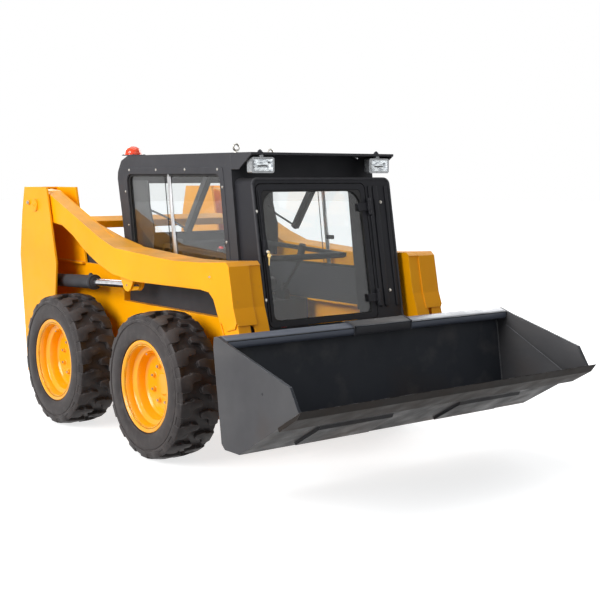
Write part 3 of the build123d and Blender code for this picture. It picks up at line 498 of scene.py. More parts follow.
# The side plates' holes are thin dark discs on their outer faces: painted shade, not openings.
doubler_bm, weld_bm, hole_bm, pin_bm = bmesh.new(), bmesh.new(), bmesh.new(), bmesh.new()
for hand in (1, -1):
    prism(doubler_bm, doubler, (hand * bucket_in, hand * (bucket_in - 0.003)), 0.001)
    seams_through(weld_bm, [spot(hand * (bucket_in - 0.002), y, z) for y, z in inside], 0.005)
    seams_through(weld_bm, [spot(hand * (bucket_in - 0.003), y, z) for y, z in (doubler[0], doubler[-1])], 0.003)
    for x in (0.563, 0.575, 0.615, 0.627):
        seam(weld_bm, spot(hand * x, -0.8615, 0.312), spot(hand * x, -0.8175, 0.622), 0.005)
    drum(hole_bm, spot(hand * (bucket_half - 0.0005), -1.186, 0.545), (hand, 0, 0), 0.0065, 0.0008, 20)
    drum(pin_bm, spot(hand * 0.7022, *bucket_pin), (hand, 0, 0), 0.0245, 0.0012, 40)
seam(weld_bm, spot(-0.92, -0.879, 0.272), spot(0.92, -0.879, 0.272), 0.003, 0.012)
finished("bucket_side_doublers", doubler_bm, bucket_inside, "bucket")
finished("bucket_welds", weld_bm, plate_grey, "bucket")
finished("bucket_side_holes_painted_shade", hole_bm, shadow_black, "bucket", slot="paint_dark")
finished("hinge_pin_ends", pin_bm, bright_zinc, "lift_arms")

# ---- Cylinders: honed barrels in charcoal, chromed rods, a wiper gland on each and a port at each end ----
# The gland is a turned steel collar over the barrel's end; the ports are welded bosses with a plugged fitting.
chrome = surface("hard_chrome", ((0.74, 0.75, 0.77), (0.5, 0.5, 0.51)), (14, 0.35, 0.75),
                 (0.08, 0.22), (40, 0.3, 0.7, 8), (900, 0.00005, 0.2), {"Metallic": 1})
dress(charcoal, "lift_barrel_left", "lift_barrel_right", "tilt_barrel_left", "tilt_barrel_right")
dress(chrome, "lift_rod_left", "lift_rod_right", "tilt_rod_left", "tilt_rod_right")
dress(bright_zinc, "lifting_eyes")

# The tilt rod's eye stands 150 mm from the bucket's pin, 20 degrees behind the line to the barrel's pin.
ear_reach, ear_turn = 0.150, radians(20)
ear_lean = atan2(tilt_pin[1] - bucket_pin[1], tilt_pin[0] - bucket_pin[0]) + ear_turn
tilt_eye = (bucket_pin[0] + ear_reach * cos(ear_lean), bucket_pin[1] + ear_reach * sin(ear_lean))
for kind, base_pin, eye, x, radius, length in (("lift", (1.6, 0.82), lift_eye, 0.62, 0.040, 0.64),
                                               ("tilt", tilt_pin, tilt_eye, 0.595, 0.033, 0.335)):
    for side, hand in sides:
        start = spot(hand * x, *base_pin)
        along = (spot(hand * x, *eye) - start).normalized()
        up = along.cross(Vector((1, 0, 0))).normalized()
        up = up if up.z > 0 else -up
        bm = bmesh.new()
        stack(bm, start, along, (length - 0.028, radius + 0.0055, 0.022, 40, 1.0, 0.0015),
              (length + 0.0003, radius - 0.006, 0.004, 40, 0.9, 0.001))
        for port in (0.075, length - 0.055):
            stack(bm, start + along * port, up, (radius - 0.004, 0.0145, 0.012, 20, 0.92, 0.001),
                  (radius + 0.008, 0.0095, 0.006, 6, 0.95, 0.0006))
        finished(f"{kind}_gland_{side}", bm, charcoal, f"{kind}_barrel_{side}")

# ---- The cab's side windows: a bolted frame panel, rubber round the glass and an aluminium runner ----
# The frame is 3 mm plate screwed over the opening. The glass slides, so a bright channel stands where its
# halves meet.
black_rubber = surface("seal_rubber", ((0.012, 0.012, 0.013), (0.024, 0.023, 0.022)),
                       (16, 0.35, 0.7, 6), (0.5, 0.7), (30, 0.3, 0.7), (600, 0.0002, 0.5, 0.0015),
                       {"Specular IOR Level": 0.25})
grain = (1, 1, 0.05)
brushed_alloy = surface("brushed_aluminium", ((0.75, 0.75, 0.76), (0.5, 0.5, 0.51)),
                        (60, 0.35, 0.7, 6, grain), (0.25, 0.42), (90, 0.3, 0.7, 4, grain),
                        (300, 0.0001, 0.3, 0.001), {"Metallic": 1})

cab_half = 0.477
cab_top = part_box("cab_shell")[1].z


def rounded(corners, radii, steps=7):
    """An outline with each corner turned by an arc, of one radius or of its own."""
    points = []
    for n, corner in enumerate(corners):
        here = Vector(corner)
        back = (Vector(corners[n - 1]) - here).normalized()
        on = (Vector(corners[(n + 1) % len(corners)]) - here).normalized()
        half = back.angle(on) / 2
        radius = radii[n] if isinstance(radii, list) else radii
        middle = here + (back + on).normalized() * radius / sin(half)
        first = here + back * radius / tan(half) - middle
        last = here + on * radius / tan(half) - middle
        for k in range(steps):
            points.append(middle + first.slerp(last, k / (steps - 1), first).normalized() * radius)
    return points


def inset(corners, distance):
    """The corners of an outline moved in by a distance, or out where it is negative."""
    area = sum(a[0] * b[1] - b[0] * a[1] for a, b in zip(corners, corners[1:] + corners[:1]))
    hand = 1 if area > 0 else -1
    moved = []
    for n, corner in enumerate(corners):
        here = Vector(corner)
        back = (here - Vector(corners[n - 1])).normalized()
        on = (Vector(corners[(n + 1) % len(corners)]) - here).normalized()
        inward_back, inward_on = Vector((-back.y, back.x)) * hand, Vector((-on.y, on.x)) * hand
        bend = (inward_back + inward_on).normalized()
        moved.append(here + bend * distance / bend.dot(inward_on))
    return moved


def box_corners(across, up, grow=0.0):
    """The corners of a box between two values across and two up, grown by a distance on all sides."""
    left, right, low, high = across[0] - grow, across[1] + grow, up[0] - grow, up[1] + grow
    return [(left, low), (right, low), (right, high), (left, high)]


def ring_plate(bm, outer, inner, place, gauge, edge=0.0008):
    """A plate between two outlines of as many points, on a plane, as thick as its gauge."""
    own = bmesh.new()
    loops = []
    for outline in (outer, inner):
        ring = [own.verts.new((*point, 0)) for point in outline]
        loops += [own.edges.new(pair) for pair in zip(ring, ring[1:] + ring[:1])]
    raised(own, bmesh.ops.bridge_loops(own, edges=loops)["faces"], (0, 0, gauge))
    bmesh.ops.recalc_face_normals(own, faces=own.faces)
    soften(own, edge, 1, 40)
    merged(bm, own, place)


def plane(origin, across, up, out):
    """A place at a point, with its X, Y and Z axes along three directions."""
    return Matrix.Translation(origin) @ Matrix((across, up, out)).transposed().to_4x4()


def wall_place(hand, depth):
    """A side wall's plane so far in from its outer face: (behind the front axle, height), facing out."""
    return plane(spot(hand * (cab_half - depth), 0, 0), (0, 1, 0), (0, 0, 1), (hand, 0, 0))


def in_wall(hand, *depths):
    """The distances across of two depths in from a side wall's outer face."""
    return [hand * (cab_half - depth) for depth in depths]


head, sill = cab_top - 0.108, 0.95
opening = [(-0.166, head), (0.816, head), (0.757, 1.08), (0.74, sill), (-0.243, sill)]
frame_screws = [(y, cab_top - 0.084) for y in (0.781, 0.475, 0.169, -0.150)]
frame_screws += [(0.826, 1.386), (0.795, 1.19), (-0.196, 1.42), (-0.232, 1.137)]
runner = [(0.378, head), (0.344, head), (0.268, sill), (0.302, sill)]
# The left pane is slid further forward, so its runner stands ahead of the right one.
for side, hand, slid in (("left", 1, -0.2), ("right", -1, 0)):
    rim = rounded(opening, 0.04)
    # Each corner of the runner with 1 at its front edge and 0 at its back one
    rail = [(y + slid, z, front) for (y, z), front in zip(runner, (0, 1, 1, 0))]
    made(f"window_frame_{side}", charcoal,
         (ring_plate, rounded(inset(opening, -0.036), 0.02), rim, wall_place(hand, 0.0002), 0.003))
    made(f"window_screws_{side}", bright_zinc,
         *[(stack, spot(hand * cab_half, y, z), (hand, 0, 0), (0.0025, 0.0075, 0.0012, 16),
            (0.0035, 0.0055, 0.0035, 16, 0.6, 0.0006)) for y, z in frame_screws])
    made(f"window_seal_{side}", black_rubber,
         *[(ring_plate, rim, rounded(inset(opening, cover), 0.028), wall_place(hand, depth), gauge, 0.002)
           for cover, depth, gauge in ((0.014, 0.0165, 0.008), (0.012, 0.030, 0.007))],
         (prism, [(y + 0.033 + 0.029 * front, z) for y, z, front in rail], in_wall(hand, 0.0155, 0.012), 0.0008))
    made(f"window_runner_{side}", brushed_alloy,
         (prism, [(y, z) for y, z, front in rail], in_wall(hand, 0.0157, 0.0107), 0.001),
         (prism, [(y - 0.010 + 0.020 * front, z) for y, z, front in rail], in_wall(hand, 0.0117, 0.0072), 0.0015))
    made(f"window_latch_{side}", black_rubber,
         (prism, box_corners((0.232 + slid, 0.292 + slid), (1.108, 1.132)), in_wall(hand, 0.036, 0.0225), 0.003))

# ---- The rear posts' lining ----
# Foam-backed board in black vinyl, screwed to the wall behind the operator's shoulder, inside each side window.
lining = [(0.632, 1.452), (0.622, 1.385), (0.616, 1.31), (0.590, 1.232), (0.568, 1.185), (0.566, 1.1),
          (0.578, 0.99), (0.735, 0.99), (0.748, 1.06), (0.775, 1.20), (0.826, 1.43), (0.829, 1.452)]
for side, hand in sides:
    made(f"post_lining_{side}", black_rubber, (prism, lining, in_wall(hand, 0.047, 0.034), 0.004, 2, 20))

# ---- The rear window's seal ----
# A rubber strip pressed round both sides of the pane in the leaning rear wall.
bm = bmesh.new()
for gap in (0.006, -0.006):
    corners = [spot(x, 0.853 + (z - 1.2) * 0.2154 + gap, z)
               for x, z in box_corners((-0.34, 0.34), (1.130, cab_top - 0.155))]
    for ends in zip(corners, corners[1:] + corners[:1]):
        rod_along(bm, ends, 0.008, 8)
finished("rear_window_seal", bm, black_rubber)

# ---- The cab's front: a beaded surround, the hinge column's folds, the door's seals, its lock and key ----
# The door's pane has a black band round it. The lock is a cast case with a bright cylinder, and the key is
# left in it.
front_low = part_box("cab_front")[0]
lean = radians(10)
foot = Vector((0, front_low.y, front_low.z))
face_out = Vector((0, -cos(lean), sin(lean)))
face_place = plane(foot, (1, 0, 0), (0, sin(lean), cos(lean)), face_out)


def on_face(x, z, out=0.0):
    """A point on the leaning front, given across and by height, so far in front of it."""
    return face_place @ Vector((x, (z - foot.z) / cos(lean), out))


front_half, front_top = 0.462, cab_top - 0.129
bead_foot, bead_in, bead_out, corner = 0.72, 0.004, -0.003, 0.036
path = [on_face(bead_in - front_half, bead_foot, bead_out)]
for start_angle, centre_x in ((pi, corner - front_half), (pi / 2, front_half - corner)):
    for n in range(7):
        a = start_angle - n * pi / 12
        path.append(on_face(centre_x + (corner - bead_in) * cos(a),
                            front_top - corner + (corner - bead_in) * sin(a), bead_out))
path.append(on_face(front_half - bead_in, bead_foot, bead_out))
made("front_beading", charcoal, (rod_along, path, 0.0075))

bm = bmesh.new()
for x, width in ((0.312, 0.010), (0.352, 0.016), (0.428, 0.010)):
    fold = rounded(box_corners((x - width, x + width), (0.115, 0.775)), width * 0.9, 5)
    cut_plate(bm, [(*point, 0) for point in fold], (0, 0, 0.006), 0.003, 3, 50,
              face_place @ Matrix.Translation((0, 0, -0.0005)))
finished("hinge_column_folds", bm, shadow_black)
made("front_bolts", bright_zinc,
     *[(bolt, on_face(x, z), face_out, 0.012)
       for x, z in ((0.382, 1.335), (0.382, 0.86), (-0.452, 1.30), (-0.452, 0.86))])
made("front_slot", black_rubber,
     *[(drum, on_face(0.376, z, -0.0004), face_out, 0.006, 0.0009, 16) for z in (1.30, 1.275, 1.25)])

# The door on the front's plane: across, up from its foot, and the frame's width round its pane
door_x, door_v, door_border = (-0.439, 0.279), (0.0608, 0.786), 0.029


def door_ring(grown, inner_grown, radius, inner_radii, depth, gauge, edge):
    """A ring between two outlines grown from the door's, in front of the face by a depth."""
    return (ring_plate, rounded(box_corners(door_x, door_v, grown), radius),
            rounded(box_corners(door_x, door_v, inner_grown), inner_radii),
            face_place @ Matrix.Translation((0, 0, depth)), gauge, edge)


made("door_opening_seal", black_rubber, door_ring(0.0057, 0.0008, 0.036, 0.030, -0.022, 0.014, 0.0015))
made("door_pane_band", black_rubber,
     *[door_ring(-door_border - 0.0002, -door_border - 0.007, 0.026, [0.030, 0.030, 0.085, 0.085], *depths)
       for depths in ((-0.0098, 0.007, 0.002), (-0.0215, 0.0053, 0.0015))], body="cab_door")
lock_x = door_x[0] + 0.014
key_mouth = on_face(lock_x, 1.0963, 0.0221)
made("door_edge_fold", shadow_black,
     (rod_along, [face_place @ Vector((lock_x, up, 0.0002)) for up in (door_v[0] + 0.03, door_v[1] - 0.03)], 0.004),
     body="cab_door")
made("lock_cylinder", brushed_alloy, (drum, key_mouth, face_out, 0.0085, 0.004, 28, 0.94, 0.0008), body="cab_door")

brass = surface("key_brass", ((0.86, 0.62, 0.25), (0.6, 0.4, 0.15)), (40, 0.4, 0.7, 8),
                (0.2, 0.4), (60, 0.3, 0.7, 8), (500, 0.0002, 0.4, 0.0006), {"Metallic": 1})
bm = bmesh.new()
rod_along(bm, [key_mouth + face_out * 0.003, key_mouth + face_out * 0.014], 0.0028, 8)
hoop(bm, key_mouth + face_out * 0.011 - Vector((0, 0, 0.005)), 0.006, 0.0016, (1, 0, 0), 20, 8)
# A second key hangs from the ring: (height, share of the radius), flattened to a blade.
hanging = ((0, 0.45), (-0.003, 0.8), (-0.009, 1), (-0.015, 1), (-0.021, 0.75), (-0.026, 0.42), (-0.058, 0.34),
           (-0.061, 0.12))
spare_key = bmesh.new()
rod_along(spare_key, [(0, 0, z) for z, share in hanging], 0.0115, 20, [share for z, share in hanging])
merged(bm, spare_key, Matrix.Translation(key_mouth + face_out * 0.0115 + Vector((0.002, 0, -0.0095)))
       @ Matrix.Diagonal((1, 0.3, 1, 1)))
finished("door_key", bm, brass, "cab_door")
dress(shadow_black, "door_lock")

# ---- Glass: the two side windows, the rear window and the door's pane ----
# Six millimetre safety glass with a faint grey-green body, filmed with dust.
window_glass, tree, shader = new_finish("safety_glass")
clear = (0.93, 0.95, 0.95)
feed(tree, shader, {"Base Color": clear, "Transmission Weight": 1, "IOR": 1.45,
                    "Roughness": remap(tree, mottle(tree, 6, 0.45, 0.8, 10), 0, 1, 0.0, 0.04)})
shadow_ray = added(tree, "ShaderNodeLightPath").outputs["Is Shadow Ray"]
see_through = added(tree, "ShaderNodeBsdfTransparent", {"Color": clear})
glass_mix = added(tree, "ShaderNodeMixShader", {0: shadow_ray, 1: shader.outputs[0], 2: see_through.outputs[0]})
feed(tree, tree.nodes["Material Output"], {"Surface": glass_mix.outputs[0]})
dress(window_glass, "cab_windows", "door_glass")

# ---- On the roof: two work lamps under the visor, the beacon and the lifting eyes ----
# Each lamp is a bright case with a pressed reflector, a bulb behind its shade and a fluted glass. The beacon is a
# moulded dome screwed to a plate, and the eyes are forged rings with a collar.
lamp_case = surface("lamp_case_silver", ((0.42, 0.43, 0.44), (0.3, 0.31, 0.32)), (20, 0.35, 0.7, 6),
                    (0.22, 0.4), (50, 0.3, 0.7), (500, 0.0002, 0.3, 0.002), {"Metallic": 0.6})
dress(lamp_case, "work_lamps")
lamp_front, lamp_z, lamp_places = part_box("work_lamps")[0].y, cab_top - 0.064, (-0.39, 0.39)


def lamp_sheet(columns, rows, shape):
    """A sheet over a lamp's face, whose points come from their share across and up, each from -1 to 1."""
    own = bmesh.new()
    bmesh.ops.create_grid(own, x_segments=columns, y_segments=rows, size=0.5,
                          matrix=Matrix.Rotation(pi / 2, 4, "X"))
    for v in own.verts:
        v.co = shape(v.co.x * 2, v.co.z * 2)
    return own


def dish(a, b):
    """A point of the pressed reflector, with flutes at its ends."""
    depth = 0.0065 * (1 - 0.85 * min(1, a * a * 0.9 + b * b * 0.6)) + 0.0012 * cos(9 * a) * (abs(a) > 0.5)
    return Vector((a * 0.0605, 0.0015 + depth, b * 0.0295))


def fluted(a, b):
    """A point of the bulging fluted glass."""
    return Vector((a * 0.061, -0.0008 - 0.0014 * (1 - a * a) * (1 - b * b) + 0.0005 * cos(a * 48), b * 0.030))


mirror_bm, lens_bm, shade_bm = bmesh.new(), bmesh.new(), bmesh.new()
for x in lamp_places:
    middle = Vector((x, lamp_front, lamp_z))
    own = lamp_sheet(24, 14, dish)
    bmesh.ops.recalc_face_normals(own, faces=own.faces)
    bmesh.ops.solidify(own, geom=own.faces[:], thickness=0.0006)
    merged(mirror_bm, own, Matrix.Translation(middle))
    rod_along(shade_bm, [middle + Vector((end, 0.0035, -0.004)) for end in (-0.026, 0.026)], 0.0034, 12)
    drum(shade_bm, middle + Vector((0.04, 0.0075, 0.012)), (0, -1, 0), 0.005, 0.005, 16, 0.8)
    own = lamp_sheet(36, 10, fluted)
    bmesh.ops.solidify(own, geom=own.faces[:], thickness=0.0012)
    bmesh.ops.recalc_face_normals(own, faces=own.faces)
    merged(lens_bm, own, Matrix.Translation(middle + Vector((0, 0.0014, 0))))
reflector = surface("lamp_reflector", ((0.85, 0.86, 0.88), (0.3, 0.31, 0.34)),
                    (34, 0.42, 0.62, 3, (1, 1, 2.5)), (0.08, 0.25), (40, 0.3, 0.7), (60, 0.002, 0.5),
                    {"Metallic": 1})
finished("lamp_reflectors", mirror_bm, reflector)
finished("lamp_shades", shade_bm, black_rubber)
finished("lamp_lenses", lens_bm, window_glass)
made("lamp_nuts", shadow_black,
     *[(stack, (x, lamp_front + 0.026, cab_top), (0, 0, 1), (-0.0003, 0.016, 0.003),
        (0.0025, 0.013, 0.008, 6, 0.9, 0.001), (0.0100, 0.008, 0.005, 16, 0.5, 0.001)) for x in lamp_places])
visor_light = spot(0.301, -0.33, cab_top)
made("visor_light_base", black_rubber, (stack, visor_light, (0, 0, -1), (0.0122, 0.024, 0.008, 28, 0.92, 0.001)))
made("visor_light_lens", reflector, (stack, visor_light, (0, 0, -1), (0.020, 0.020, 0.009, 28, 0.6, 0.002)))

beacon_plastic = surface("beacon_orange", ((0.92, 0.075, 0.008), (0.8, 0.045, 0.005)),
                         (20, 0.3, 0.7), (0.1, 0.25), (50, 0.3, 0.7), (260, 0.0002, 0.2),
                         {"Subsurface Weight": 0.25, "Subsurface Radius": (0.02, 0.006, 0.002)})


def turned(bm, outline, steps, closed=True, axis=(1, 0, 0)):
    """An outline of (along the axis, radius) spun about the X axis, or about Z as (radius, along)."""
    along_x = axis[0] == 1
    points = [bm.verts.new((a, 0, b) if along_x else (b, 0, a)) for a, b in outline]
    edges = [bm.edges.new(pair) for pair in zip(points, points[1:] + points[:1] if closed else points[1:])]
    bmesh.ops.spin(bm, geom=points + edges, cent=(0, 0, 0), axis=axis, angle=2 * pi, steps=steps,
                   use_merge=True)
    bmesh.ops.remove_doubles(bm, verts=bm.verts, dist=1e-6)
    bmesh.ops.recalc_face_normals(bm, faces=bm.faces)


def block(bm, size, at, edge=0.0, segments=2):
    """A box of a size about a point, with its edges rounded."""
    own = bmesh.new()
    bmesh.ops.create_cube(own, size=1, matrix=Matrix.Diagonal((*size, 1)))
    if edge:
        soften(own, edge, segments)
    merged(bm, own, Matrix.Translation(at))


beacon_low, beacon_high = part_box("beacon")
beacon_x, plate_y, plate_gauge = -0.430, 0.8105, 0.005
dome_height, dome_foot, dome_radius = beacon_high.z - beacon_low.z, 0.0155, 0.0475
# The dome over its foot ring, as (height, radius)
dome = [(0.0052, 0), (0.0052, 0.0495), (0.0145, 0.0495), (dome_foot, 0.0485)]
dome += [(dome_foot + (dome_height - dome_foot) * sin(a), dome_radius * cos(a))
         for a in [n * pi / 24 for n in range(12)]]
dome += [(dome_height, 0)]
own = bmesh.new()
turned(own, dome, 48, closed=False, axis=(0, 0, 1))
beacon = made("beacon_dome", beacon_plastic, (merged, own, Matrix.Translation(spot(beacon_x, 0.820, beacon_low.z))),
              smooth=40)
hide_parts("beacon")
bm = bmesh.new()
block(bm, (0.088, 0.131, plate_gauge), spot(beacon_x, plate_y, beacon_low.z + plate_gauge / 2), 0.0012)
for x in (-0.035, 0.035):
    for y in (-0.058, 0.056):
        stack(bm, spot(beacon_x + x, plate_y + y, beacon_low.z), (0, 0, 1), (plate_gauge, 0.005, 0.0025, 16, 0.7))
finished("beacon_plate", bm, charcoal)

bm = bmesh.new()
for x, y in ((-0.42, -0.238), (0.41, 0.6)):
    hoop(bm, spot(x, y, cab_top + 0.028), 0.0165, 0.0054, (1, 0, 0), 36, 12)
    stack(bm, spot(x, y, cab_top), (0, 0, 1), (0, 0.0148, 0.005, 28, 0.95, 0.001), (0.005, 0.009, 0.006, 20, 0.6))
eyes = finished("lifting_rings", bm, bright_zinc)
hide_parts("lifting_eyes")

# ---- Inside the cab: the vinyl seat, the lap bar, two hanging grab bars, the levers and the pedals ----
# The seat is foam under black vinyl with sewn channels, on a steel pan. The bars are tube in foam sleeves, and the
# levers carry moulded grips, the right one with a red switch.
vinyl = surface("seat_vinyl_black", ((0.02, 0.02, 0.022), (0.04, 0.039, 0.04)), (9, 0.35, 0.7, 6),
                (0.4, 0.62), (22, 0.3, 0.7), (900, 0.0004, 0.6, 0, 5), {"Specular IOR Level": 0.35})


def foam_pad(size, channels):
    """A crowned pad about the origin with pulled-in sides and sewn channels across its top: (place, depth)."""
    rounding, crown, bolster, stitch_width = 0.03, 0.012, 0.012, 0.035
    own = bmesh.new()
    bmesh.ops.create_cube(own, size=2)
    bmesh.ops.subdivide_edges(own, edges=own.edges, cuts=26, use_grid_fill=True)
    half = Vector(size) / 2
    core = half - Vector((rounding,) * 3)
    for v in own.verts:
        a, b = v.co.x, v.co.y
        flat = Vector((v.co.x * half.x, v.co.y * half.y, v.co.z * half.z))
        kept = Vector([max(-c, min(c, f)) for c, f in zip(core, flat)])
        away = flat - kept
        v.co = kept + away.normalized() * rounding if away.length > 1e-6 else kept
        v.co.x *= 1 - 0.035 * (1 - b * b) * (abs(a) > 0.9)
        v.co.y *= 1 - 0.03 * (1 - a * a) * (abs(b) > 0.9)
        if v.co.z > 0:
            v.co.z -= crown * (1 - (1 - a * a) * (1 - b * b))
            for place, depth in channels:
                v.co.z -= depth * exp(-((b - place) / stitch_width) ** 2) * (abs(a) < 0.8)
            v.co.z += bolster * (abs(a) > 0.72) * (1 - abs(b))
    bmesh.ops.recalc_face_normals(own, faces=own.faces)
    return own


def welt(bm, size, place):
    """The piping sewn round a pad, a little below its middle."""
    half_x, half_y = size[0] / 2 - 0.004, size[1] / 2 - 0.004
    path = [place @ Vector((*p, -0.012))
            for p in rounded(box_corners((-half_x, half_x), (-half_y, half_y)), 0.04, 6)]
    rod_along(bm, path + path[:1], 0.004, 6)


piping = bmesh.new()
for name, size, middle, tilt, channels in (
        ("seat_cushion", (0.478, 0.36, 0.098), spot(0, 0.468, 0.838), -2.5,
         ((-0.4, 0.006), (0, 0.006), (0.4, 0.006))),
        ("seat_back", (0.448, 0.235, 0.08), spot(0, 0.652, 0.978), 74, ((-0.3, 0.005), (0.3, 0.005)))):
    place = Matrix.Translation(middle) @ Matrix.Rotation(radians(tilt), 4, "X")
    pad = made(name, vinyl, (merged, foam_pad(size, channels), place), smooth=60)
    if name == "seat_cushion":
        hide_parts("seat")
    welt(piping, size, place)
finished("seat_piping", piping, vinyl)
made("seat_pan", shadow_black,
     (prism, [(0.33, 0.745), (0.33, 0.792), (0.65, 0.786), (0.65, 0.745)], (-0.18, 0.18), 0.004),
     (prism, [(0.60, 0.79), (0.672, 0.79), (0.715, 1.06), (0.700, 1.062), (0.662, 0.82), (0.60, 0.81)],
      (-0.17, 0.17), 0.003), slot="paint_dark")

foam_black = surface("foam_sleeve", ((0.014, 0.014, 0.015), (0.03, 0.029, 0.028)),
                     (16, 0.35, 0.7, 6), (0.6, 0.8), (30, 0.3, 0.7), (700, 0.0005, 0.6),
                     {"Specular IOR Level": 0.2})
dress(foam_black, "lap_bar", "control_levers")
grab_x, lever_x = 0.376, 0.282
sleeve_bm, link_bm, grip_bm, tread_bm = bmesh.new(), bmesh.new(), bmesh.new(), bmesh.new()
for hand in (1, -1):
    head_end, foot_end = spot(hand * grab_x, 0.030, cab_top - 0.040), spot(hand * grab_x, 0.310, 1.170)
    rod_along(sleeve_bm, [head_end, head_end.lerp(foot_end, 0.06)], 0.021, 20)
    rod_along(sleeve_bm, [head_end.lerp(foot_end, share) for share in (0.12, 0.13, 0.985, 1)], 0.0195, 20,
              [0.9, 1, 1, 0.85])
    rod_along(link_bm, [spot(hand * grab_x, 0.305, 1.178), spot(hand * 0.392, 0.52, 1.245),
                        spot(hand * 0.432, 0.66, 1.29)], 0.006)
    grip_foot, grip_head = spot(hand * lever_x, 0.140, 0.990), spot(hand * lever_x, 0.112, 1.079)
    rod_along(grip_bm, [grip_foot.lerp(grip_head, n / 12) for n in range(13)], 0.0222, 18,
              [0.8] + [1 - 0.08 * (n % 2) for n in range(11)] + [0.7])
    for n in range(5):
        drum(grip_bm, spot(hand * lever_x, 0.296, 0.797 + n * 0.009), (0, -0.35, 1), 0.030 - n * 0.003, 0.008, 24,
             0.8, 0.001)
        t = (n + 0.5) / 5
        rod_along(tread_bm, [spot(hand * x, -0.3245 - 0.050 * t, 0.569 + 0.094 * t) for x in (0.126, 0.224)],
                  0.004, 8)
rod_along(sleeve_bm, [spot(x, -0.2, 1.036) for x in (-0.31, -0.30, 0.30, 0.31)], 0.0155, 20, [0.85, 1, 1, 0.85])
finished("bar_sleeves", sleeve_bm, foam_black, smooth=50)
finished("grab_bar_links", link_bm, shadow_black, slot="paint_dark")
finished("lever_grips", grip_bm, black_rubber)
red_plastic = surface("switch_red", ((0.75, 0.01, 0.008), (0.55, 0.008, 0.006)), (20, 0.3, 0.7),
                      (0.2, 0.35), (50, 0.3, 0.7), (300, 0.0002, 0.3, 0.001))
made("red_switches", red_plastic,
     (drum, spot(-lever_x, 0.1115, 1.0815), (0, -0.28, 1), 0.014, 0.007, 24, 0.85, 0.001),
     (drum, spot(-0.17, -0.3145, 0.668), (0, -0.2, 1), 0.019, 0.012, 24, 0.8, 0.002))
finished("pedal_treads", tread_bm, black_rubber)

# ---- Tyres: a heavy carcass with a rim guard, and two staggered rows of deep lugs ----
# Moulded rubber. Each lug is a wide block at the shoulder with a narrower bar towards the middle, and the row on
# the other side stands half a pitch on. The sidewall is smooth between its rim guard and a stepped ring.
rubber, tree, shader = new_finish("tyre_rubber")
worn = combine(tree, "MULTIPLY", mottle(tree, 9, 0.35, 0.65, 8), 0.6)
base = tint(tree, worn, (0.028, 0.024, 0.024), (0.062, 0.053, 0.052))
for factors, colour in (((mottle(tree, 22, 0.5, 0.75, 10), 0.35), (0.1, 0.088, 0.082)),
                        ((rubbed_edges(tree), 0.6), (0.17, 0.155, 0.15))):
    base = tint(tree, combine(tree, "MULTIPLY", *factors), base, colour)
feed(tree, shader, {"Base Color": base, "Specular IOR Level": 0.2,
                    "Roughness": remap(tree, worn, 0, 1, 0.42, 0.68)})
relief(tree, shader, 320, 0.0009, 0.5, 0.002, 6)

half_tyre = (tyre_high.x - tyre_low.x) / 2
tyre_radius = (tyre_high.z - tyre_low.z) / 2
rim_low, rim_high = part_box("rim_front_left")
rim_radius = (rim_high.z - rim_low.z) / 2
half_rim = (rim_high.x - rim_low.x) / 2
lug_depth = 0.024
lug_rows = 18
tread = lug_depth + 0.001
# Half of the carcass as (across, radius): inside the rim's flange, out over the sidewall, and to the tread's middle
half_carcass = [(half_rim + x, rim_radius + r) for x, r in ((-0.03, -0.024), (-0.008, -0.012), (-0.0072, 0.002),
                                                            (0.0035, 0.005))]
half_carcass += [(half_tyre - x, rim_radius + r) for x, r in (
    (0.0085, 0.012), (0.0045, 0.022), (0.0025, 0.045), (0.0035, 0.066), (0.0065, 0.084), (0.0105, 0.0875),
    (0.0105, 0.0925), (0.0055, 0.096), (0.0065, 0.106), (0.0125, 0.110), (0.0135, 0.116))]
half_carcass += [(half_tyre - x, tyre_radius - r) for x, r in ((0.016, 0.0215), (0.022, 0.0145), (0.033, 0.0165),
                                                               (0.05, tread), (0.07, tread))]
half_carcass += [(0, tyre_radius - lug_depth + 0.001)]


def lug_mesh(plan, foot, top, crown_fall, lean):
    """A block on a plan of (across, round) points, wrapped round the tyre, with its outer end leaning in."""
    bm = bmesh.new()
    lifted = raised(bm, [bm.faces.new([bm.verts.new((x, u, foot)) for x, u in plan])], (0, 0, top - foot))
    outermost = max(x for x, u in plan)
    for v in lifted:
        v.co.z -= crown_fall * max(0, v.co.x / outermost) ** 3
        v.co.x -= lean * max(0, v.co.x / outermost - 0.3) / 0.7
        v.co.y *= 0.9
    bmesh.ops.recalc_face_normals(bm, faces=bm.faces)
    soften(bm, 0.003)
    for v in bm.verts:
        v.co.y, v.co.z = v.co.z * sin(v.co.y / top), v.co.z * cos(v.co.y / top)
    return bm


# A lug's plan: (across from the middle, round the tyre)
shoulder_lug = [(half_tyre - 0.004, -0.045), (half_tyre - 0.004, 0.036), (0.104, 0.038), (0.096, 0.046),
                (0.060, 0.048), (0.050, 0.058), (0.006, 0.050), (-0.004, 0.036), (0.002, 0.012), (0.046, 0.004),
                (0.056, -0.008), (0.058, -0.034), (0.074, -0.047), (0.108, -0.051)]
lug = lug_mesh(shoulder_lug, tyre_radius - 0.05, tyre_radius, 0.011, 0.010)
master_tyre = bmesh.new()
turned(master_tyre, half_carcass + [(-x, r) for x, r in reversed(half_carcass[:-1])], 108)
for row, stagger in ((1, 0), (-1, 0.5)):
    for n in range(lug_rows):
        turn = Matrix.Rotation(2 * pi / lug_rows * (n + stagger), 4, "X") @ Matrix.Scale(row, 4, (1, 0, 0))
        merged(master_tyre, lug, turn, keep=True)


def wheel_places():
    """Each wheel's name, with the place of its middle, mirrored on the machine's right."""
    for name in ("front_right", "front_left", "rear_right", "rear_left"):
        low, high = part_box(f"tyre_{name}")
        hand = 1 if name.endswith("left") else -1
        yield name, Matrix.Translation((low + high) / 2) @ Matrix.Scale(hand, 4, (1, 0, 0))


